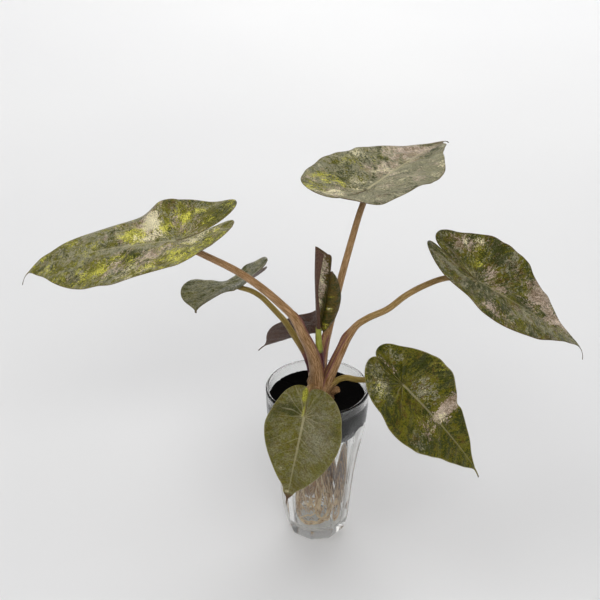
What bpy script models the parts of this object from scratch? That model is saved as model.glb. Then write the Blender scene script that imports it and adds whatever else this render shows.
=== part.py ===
"""A variegated alocasia with bare roots, held by a foam collar in a clear drinking glass.

Metres, +Z up. The origin is the centre of the glass's flat underside. -Y is the front.
"""

from dataclasses import dataclass

import bpy
import numpy as np

# Clearance between pieces that touch.
GAP = 0.0003

# The glass: outer radius at heights from the foot to the rim, measured over the ridges between its facets.
GLASS_OUTSIDE = (
    (0.000, 0.0215),
    (0.0025, 0.0235),
    (0.008, 0.0256),
    (0.017, 0.0276),
    (0.030, 0.0290),
    (0.045, 0.0304),
    (0.067, 0.0329),
    (0.086, 0.0358),
    (0.100, 0.0386),
    (0.110, 0.0400),
    (0.120, 0.0406),
    (0.140, 0.0412),
)
GLASS_HEIGHT = 0.140
FACETS = 9
FACET_STEPS = 4
FACET_TURN = np.radians(-82.0)
FACET_FULL = 0.100
ARCH_TOP = 0.127
WALL_RIM = 0.0026
WALL_FACETED = 0.0020
FLOOR_TOP = 0.011
FLOOR_ROUND = 0.004
OUTSIDE_LEVELS = (0.0, 0.0025, 0.008, 0.017, 0.045, 0.067, 0.086, 0.100, 0.109, 0.118, 0.127)
INSIDE_LEVELS = (0.132, 0.118, 0.107, 0.086, 0.060, 0.035, 0.019)

# The foam collar, pressed in under the rim, with a slit at the back left.
COLLAR_BOTTOM = 0.107
COLLAR_TOP = 0.132
COLLAR_HOLE = 0.0125
COLLAR_STEPS = 40
SLIT_AT = np.radians(143.0)
SLIT_WIDE = np.radians(3.0)

# The crown: a short thick stem that the leaf sheaths wrap. Its foot fills the hole of the collar.
CROWN_AT = (0.002, 0.0)
CROWN_FOOT = COLLAR_HOLE - GAP
CROWN_BOTTOM = 0.110
CROWN_SHAPE = (
    (CROWN_BOTTOM, CROWN_FOOT),
    (0.131, CROWN_FOOT),
    (0.137, 0.0110),
    (0.146, 0.0105),
    (0.153, 0.0088),
    (0.158, 0.0052),
)

CROWN_SIDES = 24

# Rings along a sheath, and the fewest rings along the rest of a stalk with the most distance between them.
SHEATH_RINGS = 9
STALK_RINGS = 6
STALK_STEP = 0.008

BACK = np.array([0.0, 1.0, 0.0])
UP = np.array([0.0, 0.0, 1.0])

# The blades.
BLADE_THICK = 0.0007
MIDRIB_DEEP = 0.0013
THREAD_HALF = 0.0006
SINUS_HALF = 0.0005
BLADE_COLUMNS = (0.0, 0.07, 0.3, 0.54, 0.78, 1.0)
LOBE_ROWS = 6
FRONT_ROWS = 18
THREAD_ROWS = 3

# Half width of a blade ahead of the stalk, as fractions of the length and of the widest half width.
BLADE_OUTLINE = (
    (0.00, 0.96),
    (0.16, 1.00),
    (0.43, 0.87),
    (0.62, 0.65),
    (0.76, 0.41),
    (0.87, 0.16),
    (0.94, 0.06),
    (1.00, 0.00),
)


@dataclass
class Leaf:
    """One leaf: where its stalk meets the blade, how large it is, how it points and how it bends.

    Lengths are in metres and angles in degrees. Left and right are seen from the stalk, facing the tip.
    Lifts raise the margin and nicks push it out: where (share of the way from lobe to tip), how wide, how far.
    A higher sinus keeps the lobes together for more of their length.
    """

    at: tuple
    length: float
    half_left: float
    half_right: float
    yaw: float
    pitch: float
    roll: float = 0.0
    lobe: float = 0.41
    lobe_spread: float = 0.32
    sinus: float = 8.0
    droop: float = 15.0
    sweep: float = 0.0
    twist: float = 0.0
    fold_left: float = 10.0
    fold_right: float = 10.0
    curl_left: float = 12.0
    curl_right: float = 12.0
    lobe_rise_left: float = 0.0
    lobe_rise_right: float = 0.0
    lifts_left: tuple = ()
    lifts_right: tuple = ()
    nicks_left: tuple = ()
    nicks_right: tuple = ()
    wave: float = 0.02
    waves: float = 3.0
    phase: float = 0.0
    drip: float = 0.006
    drip_droop: float = 35.0
    drip_sweep: float = 0.0


LEAVES = {
    "left": Leaf(
        at=(-0.105, -0.015, 0.278),
        length=0.123, half_left=0.057, half_right=0.047,
        yaw=180, pitch=-7, roll=0, lobe=0.38, lobe_spread=0.36, sinus=3.5,
        droop=23, sweep=-14, twist=-25, fold_left=5, fold_right=5, curl_left=1, curl_right=9,
        lobe_rise_left=21, lobe_rise_right=19,
        lifts_left=((0.19, 0.29, 0.005), (0.76, 0.12, -0.004)),
        lifts_right=((0.75, 0.25, -0.017), (0.34, 0.09, 0.011), (0.21, 0.10, 0.009)),
        nicks_left=((0.57, 0.05, -0.003), (0.92, 0.05, 0.0025)),
        nicks_right=((0.08, 0.10, -0.002), (0.34, 0.04, -0.0015), (0.92, 0.04, 0.003)),
        drip=0.013, drip_droop=46, drip_sweep=-19,
    ),
    "top": Leaf(
        at=(0.0365, 0.020, 0.3022),
        length=0.108, half_left=0.051, half_right=0.044,
        yaw=54, pitch=3, roll=-8, lobe=0.40, lobe_spread=0.30,
        droop=2, sweep=-4, twist=-11, fold_left=16, fold_right=13, curl_left=-3, curl_right=8,
        lobe_rise_left=14, lobe_rise_right=16,
        lifts_left=((0.27, 0.19, 0.002),), lifts_right=((0.57, 0.17, -0.011), (0.00, 0.12, -0.014)),
        nicks_left=((0.13, 0.06, -0.0016), (0.42, 0.05, -0.002), (0.62, 0.04, 0.0035), (0.81, 0.05, -0.004)),
        nicks_right=((0.05, 0.06, 0.004), (0.48, 0.04, -0.0014), (0.61, 0.05, 0.0021), (0.75, 0.035, -0.0018),
                     (0.88, 0.04, 0.004)),
        drip=0.007, drip_droop=39, drip_sweep=8,
    ),
    "right": Leaf(
        at=(0.120, -0.008, 0.240),
        length=0.094, half_left=0.040, half_right=0.045,
        yaw=-25, pitch=-22, roll=-12, lobe=0.49, lobe_spread=0.32,
        droop=15, sweep=15, twist=8, fold_left=10, fold_right=10, curl_left=5, curl_right=11,
        lobe_rise_left=12, lobe_rise_right=13,
        lifts_left=((0.35, 0.32, 0.020),), lifts_right=((0.70, 0.25, -0.010),),
        nicks_left=((0.09, 0.05, -0.002), (0.26, 0.06, 0.0018), (0.43, 0.05, -0.0019), (0.54, 0.03, 0.0012),
                    (0.72, 0.03, 0.002), (0.84, 0.05, -0.004)),
        nicks_right=((0.41, 0.05, 0.0018), (0.74, 0.04, 0.0012), (0.91, 0.03, 0.002)),
        drip=0.009, drip_droop=56, drip_sweep=2,
    ),
    "low_right": Leaf(
        at=(0.0635, -0.045, 0.171),
        length=0.088, half_left=0.030, half_right=0.040,
        yaw=-26, pitch=-39, roll=12, lobe=0.37, lobe_spread=0.32,
        droop=17, sweep=9, twist=15, fold_left=10, fold_right=11, curl_left=15, curl_right=4,
        lobe_rise_left=-4, lobe_rise_right=9,
        lifts_left=((0.36, 0.21, 0.019),), lifts_right=((0.53, 0.21, -0.006),),
        nicks_left=((0.09, 0.05, -0.0013), (0.38, 0.05, -0.0015), (0.61, 0.03, -0.0025), (0.76, 0.08, -0.001)),
        nicks_right=((0.36, 0.06, 0.0012), (0.61, 0.04, 0.0012), (0.75, 0.04, -0.0014), (0.91, 0.06, 0.0034)),
        drip=0.007, drip_droop=15, drip_sweep=7,
    ),
    "front": Leaf(
        at=(-0.0105, -0.062, 0.153),
        length=0.064, half_left=0.035, half_right=0.026,
        yaw=-112, pitch=-57, roll=9, lobe=0.36, lobe_spread=0.28,
        droop=14, sweep=-9, twist=-19, fold_left=14, fold_right=13, curl_left=9, curl_right=10,
        lobe_rise_left=7, lobe_rise_right=-5,
        lifts_left=((0.44, 0.20, -0.004),), lifts_right=((0.47, 0.22, 0.008),),
        nicks_left=((0.87, 0.04, 0.0011), (0.95, 0.04, 0.0012)),
        nicks_right=((0.30, 0.12, 0.001), (0.94, 0.04, 0.0018)),
        drip=0.005, drip_droop=20, drip_sweep=-45,
    ),
    "back_left": Leaf(
        at=(-0.0636, 0.046, 0.206),
        length=0.046, half_left=0.029, half_right=0.045,
        yaw=184, pitch=-13, roll=35, lobe=0.58, lobe_spread=0.31,
        droop=-7, sweep=72, twist=-2, fold_left=8, fold_right=22, curl_left=22, curl_right=-7,
        lobe_rise_left=16, lobe_rise_right=23,
        lifts_left=((0.37, 0.16, -0.005),), lifts_right=((0.47, 0.11, -0.011), (0.81, 0.14, 0.007)),
        drip=0.002, drip_droop=6, drip_sweep=23,
    ),
    "back": Leaf(
        at=(0.0005, 0.060, 0.154),
        length=0.049, half_left=0.034, half_right=0.025,
        yaw=185, pitch=-12, roll=48, lobe=0.28, lobe_spread=0.28,
        droop=24, sweep=-23, twist=-8, fold_left=20, fold_right=20, curl_left=7, curl_right=9,
        lobe_rise_left=12, lobe_rise_right=17,
        lifts_left=((0.42, 0.20, -0.002),), lifts_right=((0.45, 0.19, 0.005),),
        drip=0.007, drip_droop=19, drip_sweep=-4,
    ),
}


@dataclass
class Stalk:
    """One leaf stalk: its route up from the crown, the sheath at its foot and its thickness."""

    route: tuple
    sheath: float
    sheath_wide: float
    sheath_deep: float
    low: float
    high: float
    faces: tuple


STALKS = {
    "left": Stalk(
        route=((0.000, -0.004, 0.128), (-0.001, -0.005, 0.156), (-0.005, -0.006, 0.176),
               (-0.012, -0.007, 0.193), (-0.019, -0.008, 0.209), (-0.029, -0.009, 0.221),
               (-0.043, -0.011, 0.236), (-0.060, -0.012, 0.250), (-0.084, -0.014, 0.265)),
        sheath=0.093, sheath_wide=0.0080, sheath_deep=0.0052, low=0.0033, high=0.0023,
        faces=(0.6, 0.3, 0.7),
    ),
    "top": Stalk(
        route=((0.002, 0.001, 0.128), (0.0025, 0.003, 0.155), (0.005, 0.005, 0.175),
               (0.0095, 0.0065, 0.194), (0.0163, 0.010, 0.226), (0.0210, 0.012, 0.246),
               (0.0255, 0.014, 0.264), (0.0317, 0.017, 0.287)),
        sheath=0.066, sheath_wide=0.0055, sheath_deep=0.0046, low=0.0031, high=0.0023,
        faces=(-0.3, -0.9, 0.2),
    ),
    "right": Stalk(
        route=((0.005, -0.005, 0.128), (0.007, -0.006, 0.146), (0.0125, -0.006, 0.162),
               (0.018, -0.005, 0.176), (0.024, -0.002, 0.188), (0.031, 0.002, 0.196),
               (0.038, 0.004, 0.200),
               (0.054, 0.005, 0.208), (0.067, 0.006, 0.219), (0.082, 0.007, 0.228),
               (0.098, 0.006, 0.235)),
        sheath=0.074, sheath_wide=0.0062, sheath_deep=0.0045, low=0.0027, high=0.0021,
        faces=(-0.7, -0.2, 0.7),
    ),
    "low_right": Stalk(
        route=((0.004, -0.004, 0.126), (0.006, -0.005, 0.138), (0.013, -0.008, 0.149),
               (0.021, -0.011, 0.155), (0.030, -0.018, 0.158), (0.042, -0.026, 0.162),
               (0.053, -0.036, 0.164)),
        sheath=0.030, sheath_wide=0.0068, sheath_deep=0.0050, low=0.0024, high=0.0020,
        faces=(-0.3, 0.2, 1.0),
    ),
    "front": Stalk(
        route=((0.000, -0.004, 0.126), (-0.001, -0.008, 0.141), (-0.005, -0.016, 0.150),
               (-0.008, -0.030, 0.155), (-0.010, -0.046, 0.154)),
        sheath=0.026, sheath_wide=0.0055, sheath_deep=0.0040, low=0.0026, high=0.0021,
        faces=(0.0, 0.3, 1.0),
    ),
    "back_left": Stalk(
        route=((0.000, 0.003, 0.128), (-0.003, 0.005, 0.150), (-0.009, 0.008, 0.1655),
               (-0.0152, 0.010, 0.175), (-0.0203, 0.015, 0.181), (-0.026, 0.022, 0.187),
               (-0.032, 0.028, 0.191), (-0.039, 0.034, 0.196), (-0.0445, 0.0385, 0.1995),
               (-0.052, 0.0425, 0.2025)),
        sheath=0.050, sheath_wide=0.0060, sheath_deep=0.0042, low=0.0026, high=0.0020,
        faces=(0.5, -0.5, 0.8),
    ),
    "back": Stalk(
        route=((0.003, 0.004, 0.126), (0.004, 0.008, 0.144), (0.004, 0.018, 0.153),
               (0.003, 0.034, 0.155), (0.001, 0.048, 0.1525)),
        sheath=0.030, sheath_wide=0.0055, sheath_deep=0.0040, low=0.0024, high=0.0020,
        faces=(0.0, -0.4, 1.0),
    ),
}

# The new leaf, still unrolling: its foot, its stalk, and outlines seen from the front as (height over
# the foot, distance to the right of the foot).
NEW_FOOT = (0.0004, -0.003, 0.196)
NEW_STALK_ROUTE = ((0.003, 0.000, 0.140), (0.002, -0.001, 0.165), (0.0008, -0.002, 0.180))
NEW_SHEATH = 0.040
NEW_STALK_LOW = 0.0030
NEW_STALK_HIGH = 0.0021
NEW_ROWS = 12
NEW_TIP = 0.0708
NEW_CLOSED = 0.45
NEW_OUTSIDE = ((0.000, -0.0012), (0.017, -0.0018), (0.026, -0.0021), (0.045, -0.0027), (0.0708, -0.0024))
NEW_ROLLED_EDGE = ((0.000, 0.0016), (0.017, 0.0009), (0.035, -0.0004), (0.045, 0.0006), (0.0708, 0.0045))
NEW_MIDRIB = ((0.000, 0.0020), (0.007, 0.0027), (0.020, 0.0050), (0.042, 0.0076), (0.061, 0.0091))
NEW_LOBE_EDGE = (
    (-0.0040, 0.0045),
    (0.0000, 0.0080),
    (0.0040, 0.0108),
    (0.0120, 0.0143),
    (0.0200, 0.0164),
    (0.0280, 0.0171),
    (0.0360, 0.0160),
    (0.0440, 0.0136),
    (0.0500, 0.0100),
)
# Columns of its left half from the rolled edge to the midrib: share of the way from the outside to the
# midrib or, for the first two, to the rolled edge, with the depth of the column behind the foot.
NEW_LEFT_COLUMNS = ((1.0, -0.0030), (0.4, -0.0031), (0.0, -0.0010), (0.1, 0.0016), (0.4, 0.0026), (0.75, 0.0030))
# Columns of its right half from the midrib out: share of the way to the lobe's edge, depth, lowest point.
NEW_RIGHT_COLUMNS = (
    (0.00, 0.0030, 0.0000),
    (0.05, 0.0006, -0.0008),
    (0.30, -0.0020, -0.0025),
    (0.70, -0.0020, -0.0038),
    (1.00, 0.0006, -0.0036),
)

# The cut stub of an old stalk beside the crown.
STUB_FROM = (0.008, -0.002, 0.134)
STUB_TO = (0.0160, -0.007, 0.1415)
STUB_RADIUS = 0.0027

# The rootstock and roots under the collar.
ROOTSTOCK = (
    (*CROWN_AT, CROWN_BOTTOM - GAP),
    (0.004, 0.001, 0.095),
    (0.009, 0.000, 0.078),
    (0.014, -0.002, 0.062),
    (0.016, -0.003, 0.050),
)
ROOTSTOCK_GIRTH = ((0.0, 0.0100), (0.25, 0.0085), (0.50, 0.0058), (0.75, 0.0072), (1.0, 0.0050))
ROOT_COUNT = 13
ROOT_SIDES = 5
ROOT_SEED = 7
ROOT_THIN = 0.0011
ROOT_THICK = 0.0017
ROOT_CLEAR = 0.0035
ROOT_ENDS = 0.012
ROOT_SPREAD = np.radians(222.5)


def clear_scene():
    for item in list(bpy.data.objects):
        bpy.data.objects.remove(item, do_unlink=True)


def plain_material(name, colour, roughness, metallic=0.0, transmission=0.0):
    material = bpy.data.materials.new(name)
    material.use_nodes = True
    shader = material.node_tree.nodes["Principled BSDF"]
    shader.inputs["Base Color"].default_value = (*colour, 1.0)
    shader.inputs["Roughness"].default_value = roughness
    shader.inputs["Metallic"].default_value = metallic
    shader.inputs["Transmission Weight"].default_value = transmission
    return material


def add_object(name, points, faces, material):
    mesh = bpy.data.meshes.new(name)
    mesh.from_pydata([tuple(map(float, point)) for point in points], [], faces)
    mesh.validate()
    mesh.shade_smooth()
    mesh.set_sharp_from_angle(angle=np.radians(40.0))
    mesh.materials.append(material)
    item = bpy.data.objects.new(name, mesh)
    bpy.context.scene.collection.objects.link(item)
    return item


def join_by_union(name, pieces, material, solver="EXACT"):
    """The pieces as one body: a Boolean union of the first with the rest, applied."""
    others = bpy.data.collections.new(name + "_pieces")
    bpy.context.scene.collection.children.link(others)
    for piece in pieces[1:]:
        bpy.context.scene.collection.objects.unlink(piece)
        others.objects.link(piece)
    union = pieces[0].modifiers.new("union", "BOOLEAN")
    union.operation = "UNION"
    union.operand_type = "COLLECTION"
    union.collection = others
    union.solver = solver
    bpy.context.view_layer.update()
    graph = bpy.context.evaluated_depsgraph_get()
    mesh = bpy.data.meshes.new_from_object(pieces[0].evaluated_get(graph))
    mesh.name = name
    mesh.materials.clear()
    mesh.materials.append(material)
    for piece in pieces:
        bpy.data.objects.remove(piece, do_unlink=True)
    bpy.data.collections.remove(others)
    item = bpy.data.objects.new(name, mesh)
    bpy.context.scene.collection.objects.link(item)
    return item


def through(points, x):
    """The value at x of a smooth curve through the points (x, value)."""
    known, values = np.array(points, float).T
    slope = np.gradient(values, known)
    x = np.clip(x, known[0], known[-1])
    i = np.clip(np.searchsorted(known, x) - 1, 0, len(known) - 2)
    step = known[i + 1] - known[i]
    t = (x - known[i]) / step
    ahead = (1 + 2 * t) * (1 - t) ** 2 * values[i] + t * (1 - t) ** 2 * step * slope[i]
    behind = t * t * (3 - 2 * t) * values[i + 1] + t * t * (t - 1) * step * slope[i + 1]
    return ahead + behind


def smooth_route(points, count):
    """Evenly spaced points on a smooth curve through the route's points."""
    points = np.array(points, float)
    along = np.concatenate([[0.0], np.cumsum(np.linalg.norm(np.diff(points, axis=0), axis=1))])
    where = np.linspace(0.0, along[-1], count)
    return np.stack([through(np.stack([along, points[:, k]], 1), where) for k in range(3)], 1)


def turned(rings):
    """Faces that join rings of points one to the next, each face as two triangles."""
    faces = []
    for lower, upper in zip(rings, rings[1:]):
        count = len(lower)
        for k in range(count):
            n = (k + 1) % count
            faces.append((lower[k], lower[n], upper[n]))
            faces.append((lower[k], upper[n], upper[k]))
    return faces


def fan(ring, centre, outward):
    """Triangles that close a ring to a centre point."""
    faces = []
    for k, first in enumerate(ring):
        second = ring[(k + 1) % len(ring)]
        faces.append((first, second, centre) if outward else (second, first, centre))
    return faces


def glass_radius(height):
    return through(GLASS_OUTSIDE, height)


def faceted_radius(height, turn):
    """Outer radius where the flat facets cut the round wall; each facet ends in an arch at the top."""
    radius = glass_radius(height)
    half = np.pi / FACETS
    from_middle = (turn - FACET_TURN + half) % (2 * half) - half
    flat = np.cos(half)
    rise = np.clip((height - FACET_FULL) / (ARCH_TOP - FACET_FULL), 0.0, 1.0)
    plane = radius * (flat + (1.0 - flat) * rise)
    return min(radius, plane / np.cos(from_middle))


def inside_radius(height):
    rim = glass_radius(height) - WALL_RIM
    faceted = glass_radius(height) * np.cos(np.pi / FACETS) - WALL_FACETED
    blend = np.clip((height - FACET_FULL) / (ARCH_TOP - FACET_FULL), 0.0, 1.0)
    return faceted + (rim - faceted) * blend


def add_glass(material):
    count = FACETS * FACET_STEPS
    turns = FACET_TURN + 2 * np.pi * np.arange(count) / count
    rim_out = glass_radius(GLASS_HEIGHT)
    rim_in = inside_radius(GLASS_HEIGHT)
    lip = (rim_out - rim_in) / 2
    profile = [(level, None) for level in OUTSIDE_LEVELS]
    profile.append((GLASS_HEIGHT - lip, rim_out))
    profile.append((GLASS_HEIGHT - 0.3 * lip, rim_out - 0.35 * lip))
    profile.append((GLASS_HEIGHT, rim_out - lip))
    profile.append((GLASS_HEIGHT - 0.3 * lip, rim_in + 0.35 * lip))
    profile.extend((level, float(inside_radius(level))) for level in INSIDE_LEVELS)
    profile.append((FLOOR_TOP + 0.3 * FLOOR_ROUND, float(inside_radius(FLOOR_TOP)) - 0.3 * FLOOR_ROUND))
    profile.append((FLOOR_TOP, float(inside_radius(FLOOR_TOP)) - FLOOR_ROUND))
    points, rings = [], []
    for height, radius in profile:
        rings.append(list(range(len(points), len(points) + count)))
        for turn in turns:
            r = faceted_radius(height, turn) if radius is None else radius
            points.append((r * np.cos(turn), r * np.sin(turn), height))
    points.append((0.0, 0.0, 0.0))
    points.append((0.0, 0.0, FLOOR_TOP))
    faces = turned(rings)
    faces += fan(rings[0], len(points) - 2, False)
    faces += fan(rings[-1], len(points) - 1, True)
    return add_object("glass", points, faces, material)


def add_collar(material):
    """A foam disc that fills the glass under its rim, slit once from the hole to its edge."""
    turns = SLIT_AT + SLIT_WIDE / 2 + np.linspace(0.0, 2 * np.pi - SLIT_WIDE, COLLAR_STEPS)
    centre = np.array(CROWN_AT)
    points = []
    for turn in turns:
        away = np.array([np.cos(turn), np.sin(turn)])
        hole = centre + COLLAR_HOLE * away
        for height in (COLLAR_BOTTOM, COLLAR_TOP):
            edge = (inside_radius(height) - GAP) * away
            points.append((*edge, height))
            points.append((*hole, height))
    faces = []
    for k in range(COLLAR_STEPS - 1):
        low_edge, low_hole, top_edge, top_hole = (4 * k + n for n in range(4))
        for a, b in ((low_edge, top_edge), (top_edge, top_hole), (top_hole, low_hole), (low_hole, low_edge)):
            faces.append((a, a + 4, b + 4))
            faces.append((a, b + 4, b))
    last = 4 * (COLLAR_STEPS - 1)
    faces.append((0, 2, 3))
    faces.append((0, 3, 1))
    faces.append((last, last + 3, last + 2))
    faces.append((last, last + 1, last + 3))
    return add_object("collar", points, faces, material)


def headings(route):
    """Unit directions along a route."""
    ahead = np.gradient(np.array(route, float), axis=0)
    return ahead / np.linalg.norm(ahead, axis=1)[:, None]


def tube(name, route, tangents, widths, depths, side, material, sides=8, last_plane=None):
    """A closed tube along the route. Widths run across `side`, depths along it; the last ring may lie in a plane."""
    points, rings = [], []
    for place, tangent, wide, deep in zip(route, tangents, widths, depths):
        depth_axis = side - tangent * np.dot(side, tangent)
        depth_axis /= np.linalg.norm(depth_axis)
        width_axis = np.cross(tangent, depth_axis)
        rings.append(list(range(len(points), len(points) + sides)))
        for k in range(sides):
            angle = 2 * np.pi * (k + 0.5) / sides
            points.append(place + wide * np.cos(angle) * width_axis - deep * np.sin(angle) * depth_axis)
    if last_plane is not None:
        normal = np.array(last_plane, float)
        slant = np.dot(tangents[-1], normal)
        for k in rings[-1]:
            points[k] = points[k] - tangents[-1] * np.dot(points[k] - route[-1], normal) / slant
    points.append(route[0])
    points.append(route[-1])
    faces = turned(rings)
    faces += fan(rings[0], len(points) - 2, False)
    faces += fan(rings[-1], len(points) - 1, True)
    return add_object(name, points, faces, material)


def axes_of(yaw, pitch, roll):
    """Unit vectors ahead, to the left and up for arrays of angles in radians."""
    ahead = np.stack([np.cos(pitch) * np.cos(yaw), np.cos(pitch) * np.sin(yaw), np.sin(pitch)], -1)
    left = np.stack([-np.sin(yaw), np.cos(yaw), 0 * yaw], -1)
    up = np.cross(ahead, left)
    cos, sin = np.cos(roll)[..., None], np.sin(roll)[..., None]
    return ahead, cos * left + sin * up, cos * up - sin * left


def midrib(leaf, along):
    """Place, left and up at each distance along the midrib; below 0 it runs back between the lobes."""
    end = 1 + leaf.drip / leaf.length
    x = np.concatenate([[-leaf.lobe, 0.0], np.linspace(0, 1, 31)[1:], np.linspace(1, end, 9)[1:]])
    ahead = np.clip(x, 0, 1)
    late = np.clip((x - 0.93) / (end - 0.93), 0, 1)
    pitch = np.radians(leaf.pitch - leaf.droop * ahead**1.5 - leaf.drip_droop * late)
    yaw = np.radians(leaf.yaw + leaf.sweep * ahead + leaf.drip_sweep * late)
    roll = np.radians(leaf.roll + leaf.twist * ahead)
    heading, left, up = axes_of(yaw, pitch, roll)
    steps = (heading[1:] + heading[:-1]) / 2 * np.diff(x)[:, None] * leaf.length
    place = np.concatenate([np.zeros((1, 3)), np.cumsum(steps, 0)])
    place += np.array(leaf.at) - place[1]
    return [
        np.stack([np.interp(along / leaf.length, x, values[:, k]) for k in range(3)], -1)
        for values in (place, left, up)
    ]


def margins(leaf, along, side):
    """Distances from the midrib line to the inner and the outer margin of one half: side is +1 left, -1 right."""
    half = leaf.half_left if side > 0 else leaf.half_right
    lobe = leaf.lobe * leaf.length
    back = np.clip(-along / lobe, 0, 1)
    spread = leaf.lobe_spread
    ahead = np.maximum(through(BLADE_OUTLINE, along / leaf.length), THREAD_HALF / half)
    outer = half * np.where(along >= 0, ahead, spread + (0.96 - spread) * np.sqrt(1 - back**2))
    inner = half * spread * (1 - np.sqrt(1 - back**leaf.sinus))
    inner = inner + SINUS_HALF * np.clip(4 * back, 0, 1) * (1 - back**4)
    station = (along + lobe) / (leaf.length + lobe)
    for centre, width, bulge in leaf.nicks_left if side > 0 else leaf.nicks_right:
        outer = outer + bulge * np.exp(-(((station - centre) / width) ** 2)) * np.sqrt(1 - back**4)
    return inner, outer


def blade_points(leaf, along, share, side):
    """Points of the blade's upper face: side is +1 left or -1 right, share runs from the inner margin out."""
    along, share = np.broadcast_arrays(np.asarray(along, float), np.asarray(share, float))
    is_left = side > 0
    half = leaf.half_left if is_left else leaf.half_right
    fold = np.radians(leaf.fold_left if is_left else leaf.fold_right)
    curl = np.radians(leaf.curl_left if is_left else leaf.curl_right)
    rise = np.radians(leaf.lobe_rise_left if is_left else leaf.lobe_rise_right)
    inner, outer = margins(leaf, along, side)
    out = (inner + (outer - inner) * share) / half
    across = half * (np.sin(fold) - np.sin(fold - curl * out)) / curl
    high = half * (np.cos(fold - curl * out) - np.cos(fold)) / curl
    lobe = leaf.lobe * leaf.length
    high = high + lobe * np.tan(rise) * np.clip(-along / lobe, 0, 1) ** 1.5
    station = (along + lobe) / (leaf.length + lobe)
    for centre, width, height in leaf.lifts_left if is_left else leaf.lifts_right:
        high = high + height * out**2 * np.exp(-(((station - centre) / width) ** 2))
    ripple = 2 * np.pi * leaf.waves * station + leaf.phase + (0.0 if is_left else 1.9)
    high = high + leaf.wave * half * out**3 * np.sin(ripple)
    place, left, up = midrib(leaf, along)
    return place + side * across[..., None] * left + high[..., None] * up


def blade_rows(leaf):
    back = np.linspace(np.pi / 2, 0.0, LOBE_ROWS + 1)[:-1]
    front = np.linspace(0.0, 1.0, FRONT_ROWS + 1)
    drip = np.linspace(0.0, 1.0, THREAD_ROWS + 1)[1:]
    return np.concatenate([
        -leaf.lobe * leaf.length * np.sin(back),
        leaf.length * front,
        leaf.length + leaf.drip * drip,
    ])


def blade_surface(leaf):
    """Points and triangles of the upper face, and how much deeper the underside is at each point."""
    rows = blade_rows(leaf)
    last_wide = LOBE_ROWS + FRONT_ROWS - 1
    points, deeper, faces, index = [], [], [], {}
    for side in (1, -1):
        for r, along in enumerate(rows):
            for c, share in enumerate(BLADE_COLUMNS):
                shared = c == 0 and r >= LOBE_ROWS
                if shared and side < 0:
                    index[side, r, c] = index[1, r, c]
                elif (r == 0 and c > 0) or (r > last_wide and c > 1):
                    index[side, r, c] = index[side, r, c - 1]
                else:
                    use = 1.0 if r > last_wide and c == 1 else share
                    index[side, r, c] = len(points)
                    points.append(blade_points(leaf, along, use, side))
                    ridge = max(0.0, 1.0 - along / leaf.length) if shared else 0.0
                    deeper.append(MIDRIB_DEEP * ridge)
        for r in range(len(rows) - 1):
            for c in range(len(BLADE_COLUMNS) - 1):
                near, far = index[side, r, c], index[side, r + 1, c]
                near_out, far_out = index[side, r, c + 1], index[side, r + 1, c + 1]
                for face in ((near, far_out, far), (near, near_out, far_out)):
                    if len(set(face)) == 3:
                        faces.append(face if side < 0 else face[::-1])
    return np.array(points), faces, np.array(deeper)


def slab(points, faces, thick):
    """A closed sheet: the face given, a copy of it pushed back by the thickness, and the edge between them."""
    corners = points[np.array(faces)]
    flat = np.cross(corners[:, 1] - corners[:, 0], corners[:, 2] - corners[:, 0])
    normals = np.zeros_like(points)
    for k in range(3):
        np.add.at(normals, np.array(faces)[:, k], flat)
    normals /= np.linalg.norm(normals, axis=1)[:, None]
    count = len(points)
    under = points - normals * np.asarray(thick)[..., None]
    closed = list(faces) + [tuple(count + v for v in face[::-1]) for face in faces]
    seen = {}
    for face in faces:
        for k in range(3):
            seen[face[k], face[(k + 1) % 3]] = True
    for a, b in seen:
        if (b, a) not in seen:
            closed.append((b, a, count + a))
            closed.append((b, count + a, count + b))
    return np.concatenate([points, under]), closed


def add_blade(name, leaf, material):
    points, faces, deeper = blade_surface(leaf)
    return add_object(name, *slab(points, faces, BLADE_THICK + deeper), material)


def leaf_stalk_route(stalk, leaf):
    """The stalk's route, ending just under the blade, and the blade's upward direction there."""
    place, _, up = (values[0] for values in midrib(leaf, np.array([0.0])))
    return [*stalk.route, place - up * (BLADE_THICK + MIDRIB_DEEP + GAP)], up


def split_stalk(route, sheath):
    """Places and directions along the sheath, then those along the rest of the stalk, a gap above it."""
    fine = smooth_route(route, 400)
    ahead = headings(fine)
    along = np.concatenate([[0.0], np.cumsum(np.linalg.norm(np.diff(fine, axis=0), axis=1))])
    rest = along[-1] - sheath
    parts = []
    for where in (
        np.linspace(0.0, sheath, SHEATH_RINGS),
        np.linspace(sheath + GAP, along[-1], max(STALK_RINGS, int(rest / STALK_STEP))),
    ):
        for values in (fine, ahead):
            parts.append(np.stack([np.interp(where, along, values[:, k]) for k in range(3)], 1))
    return parts


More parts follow.
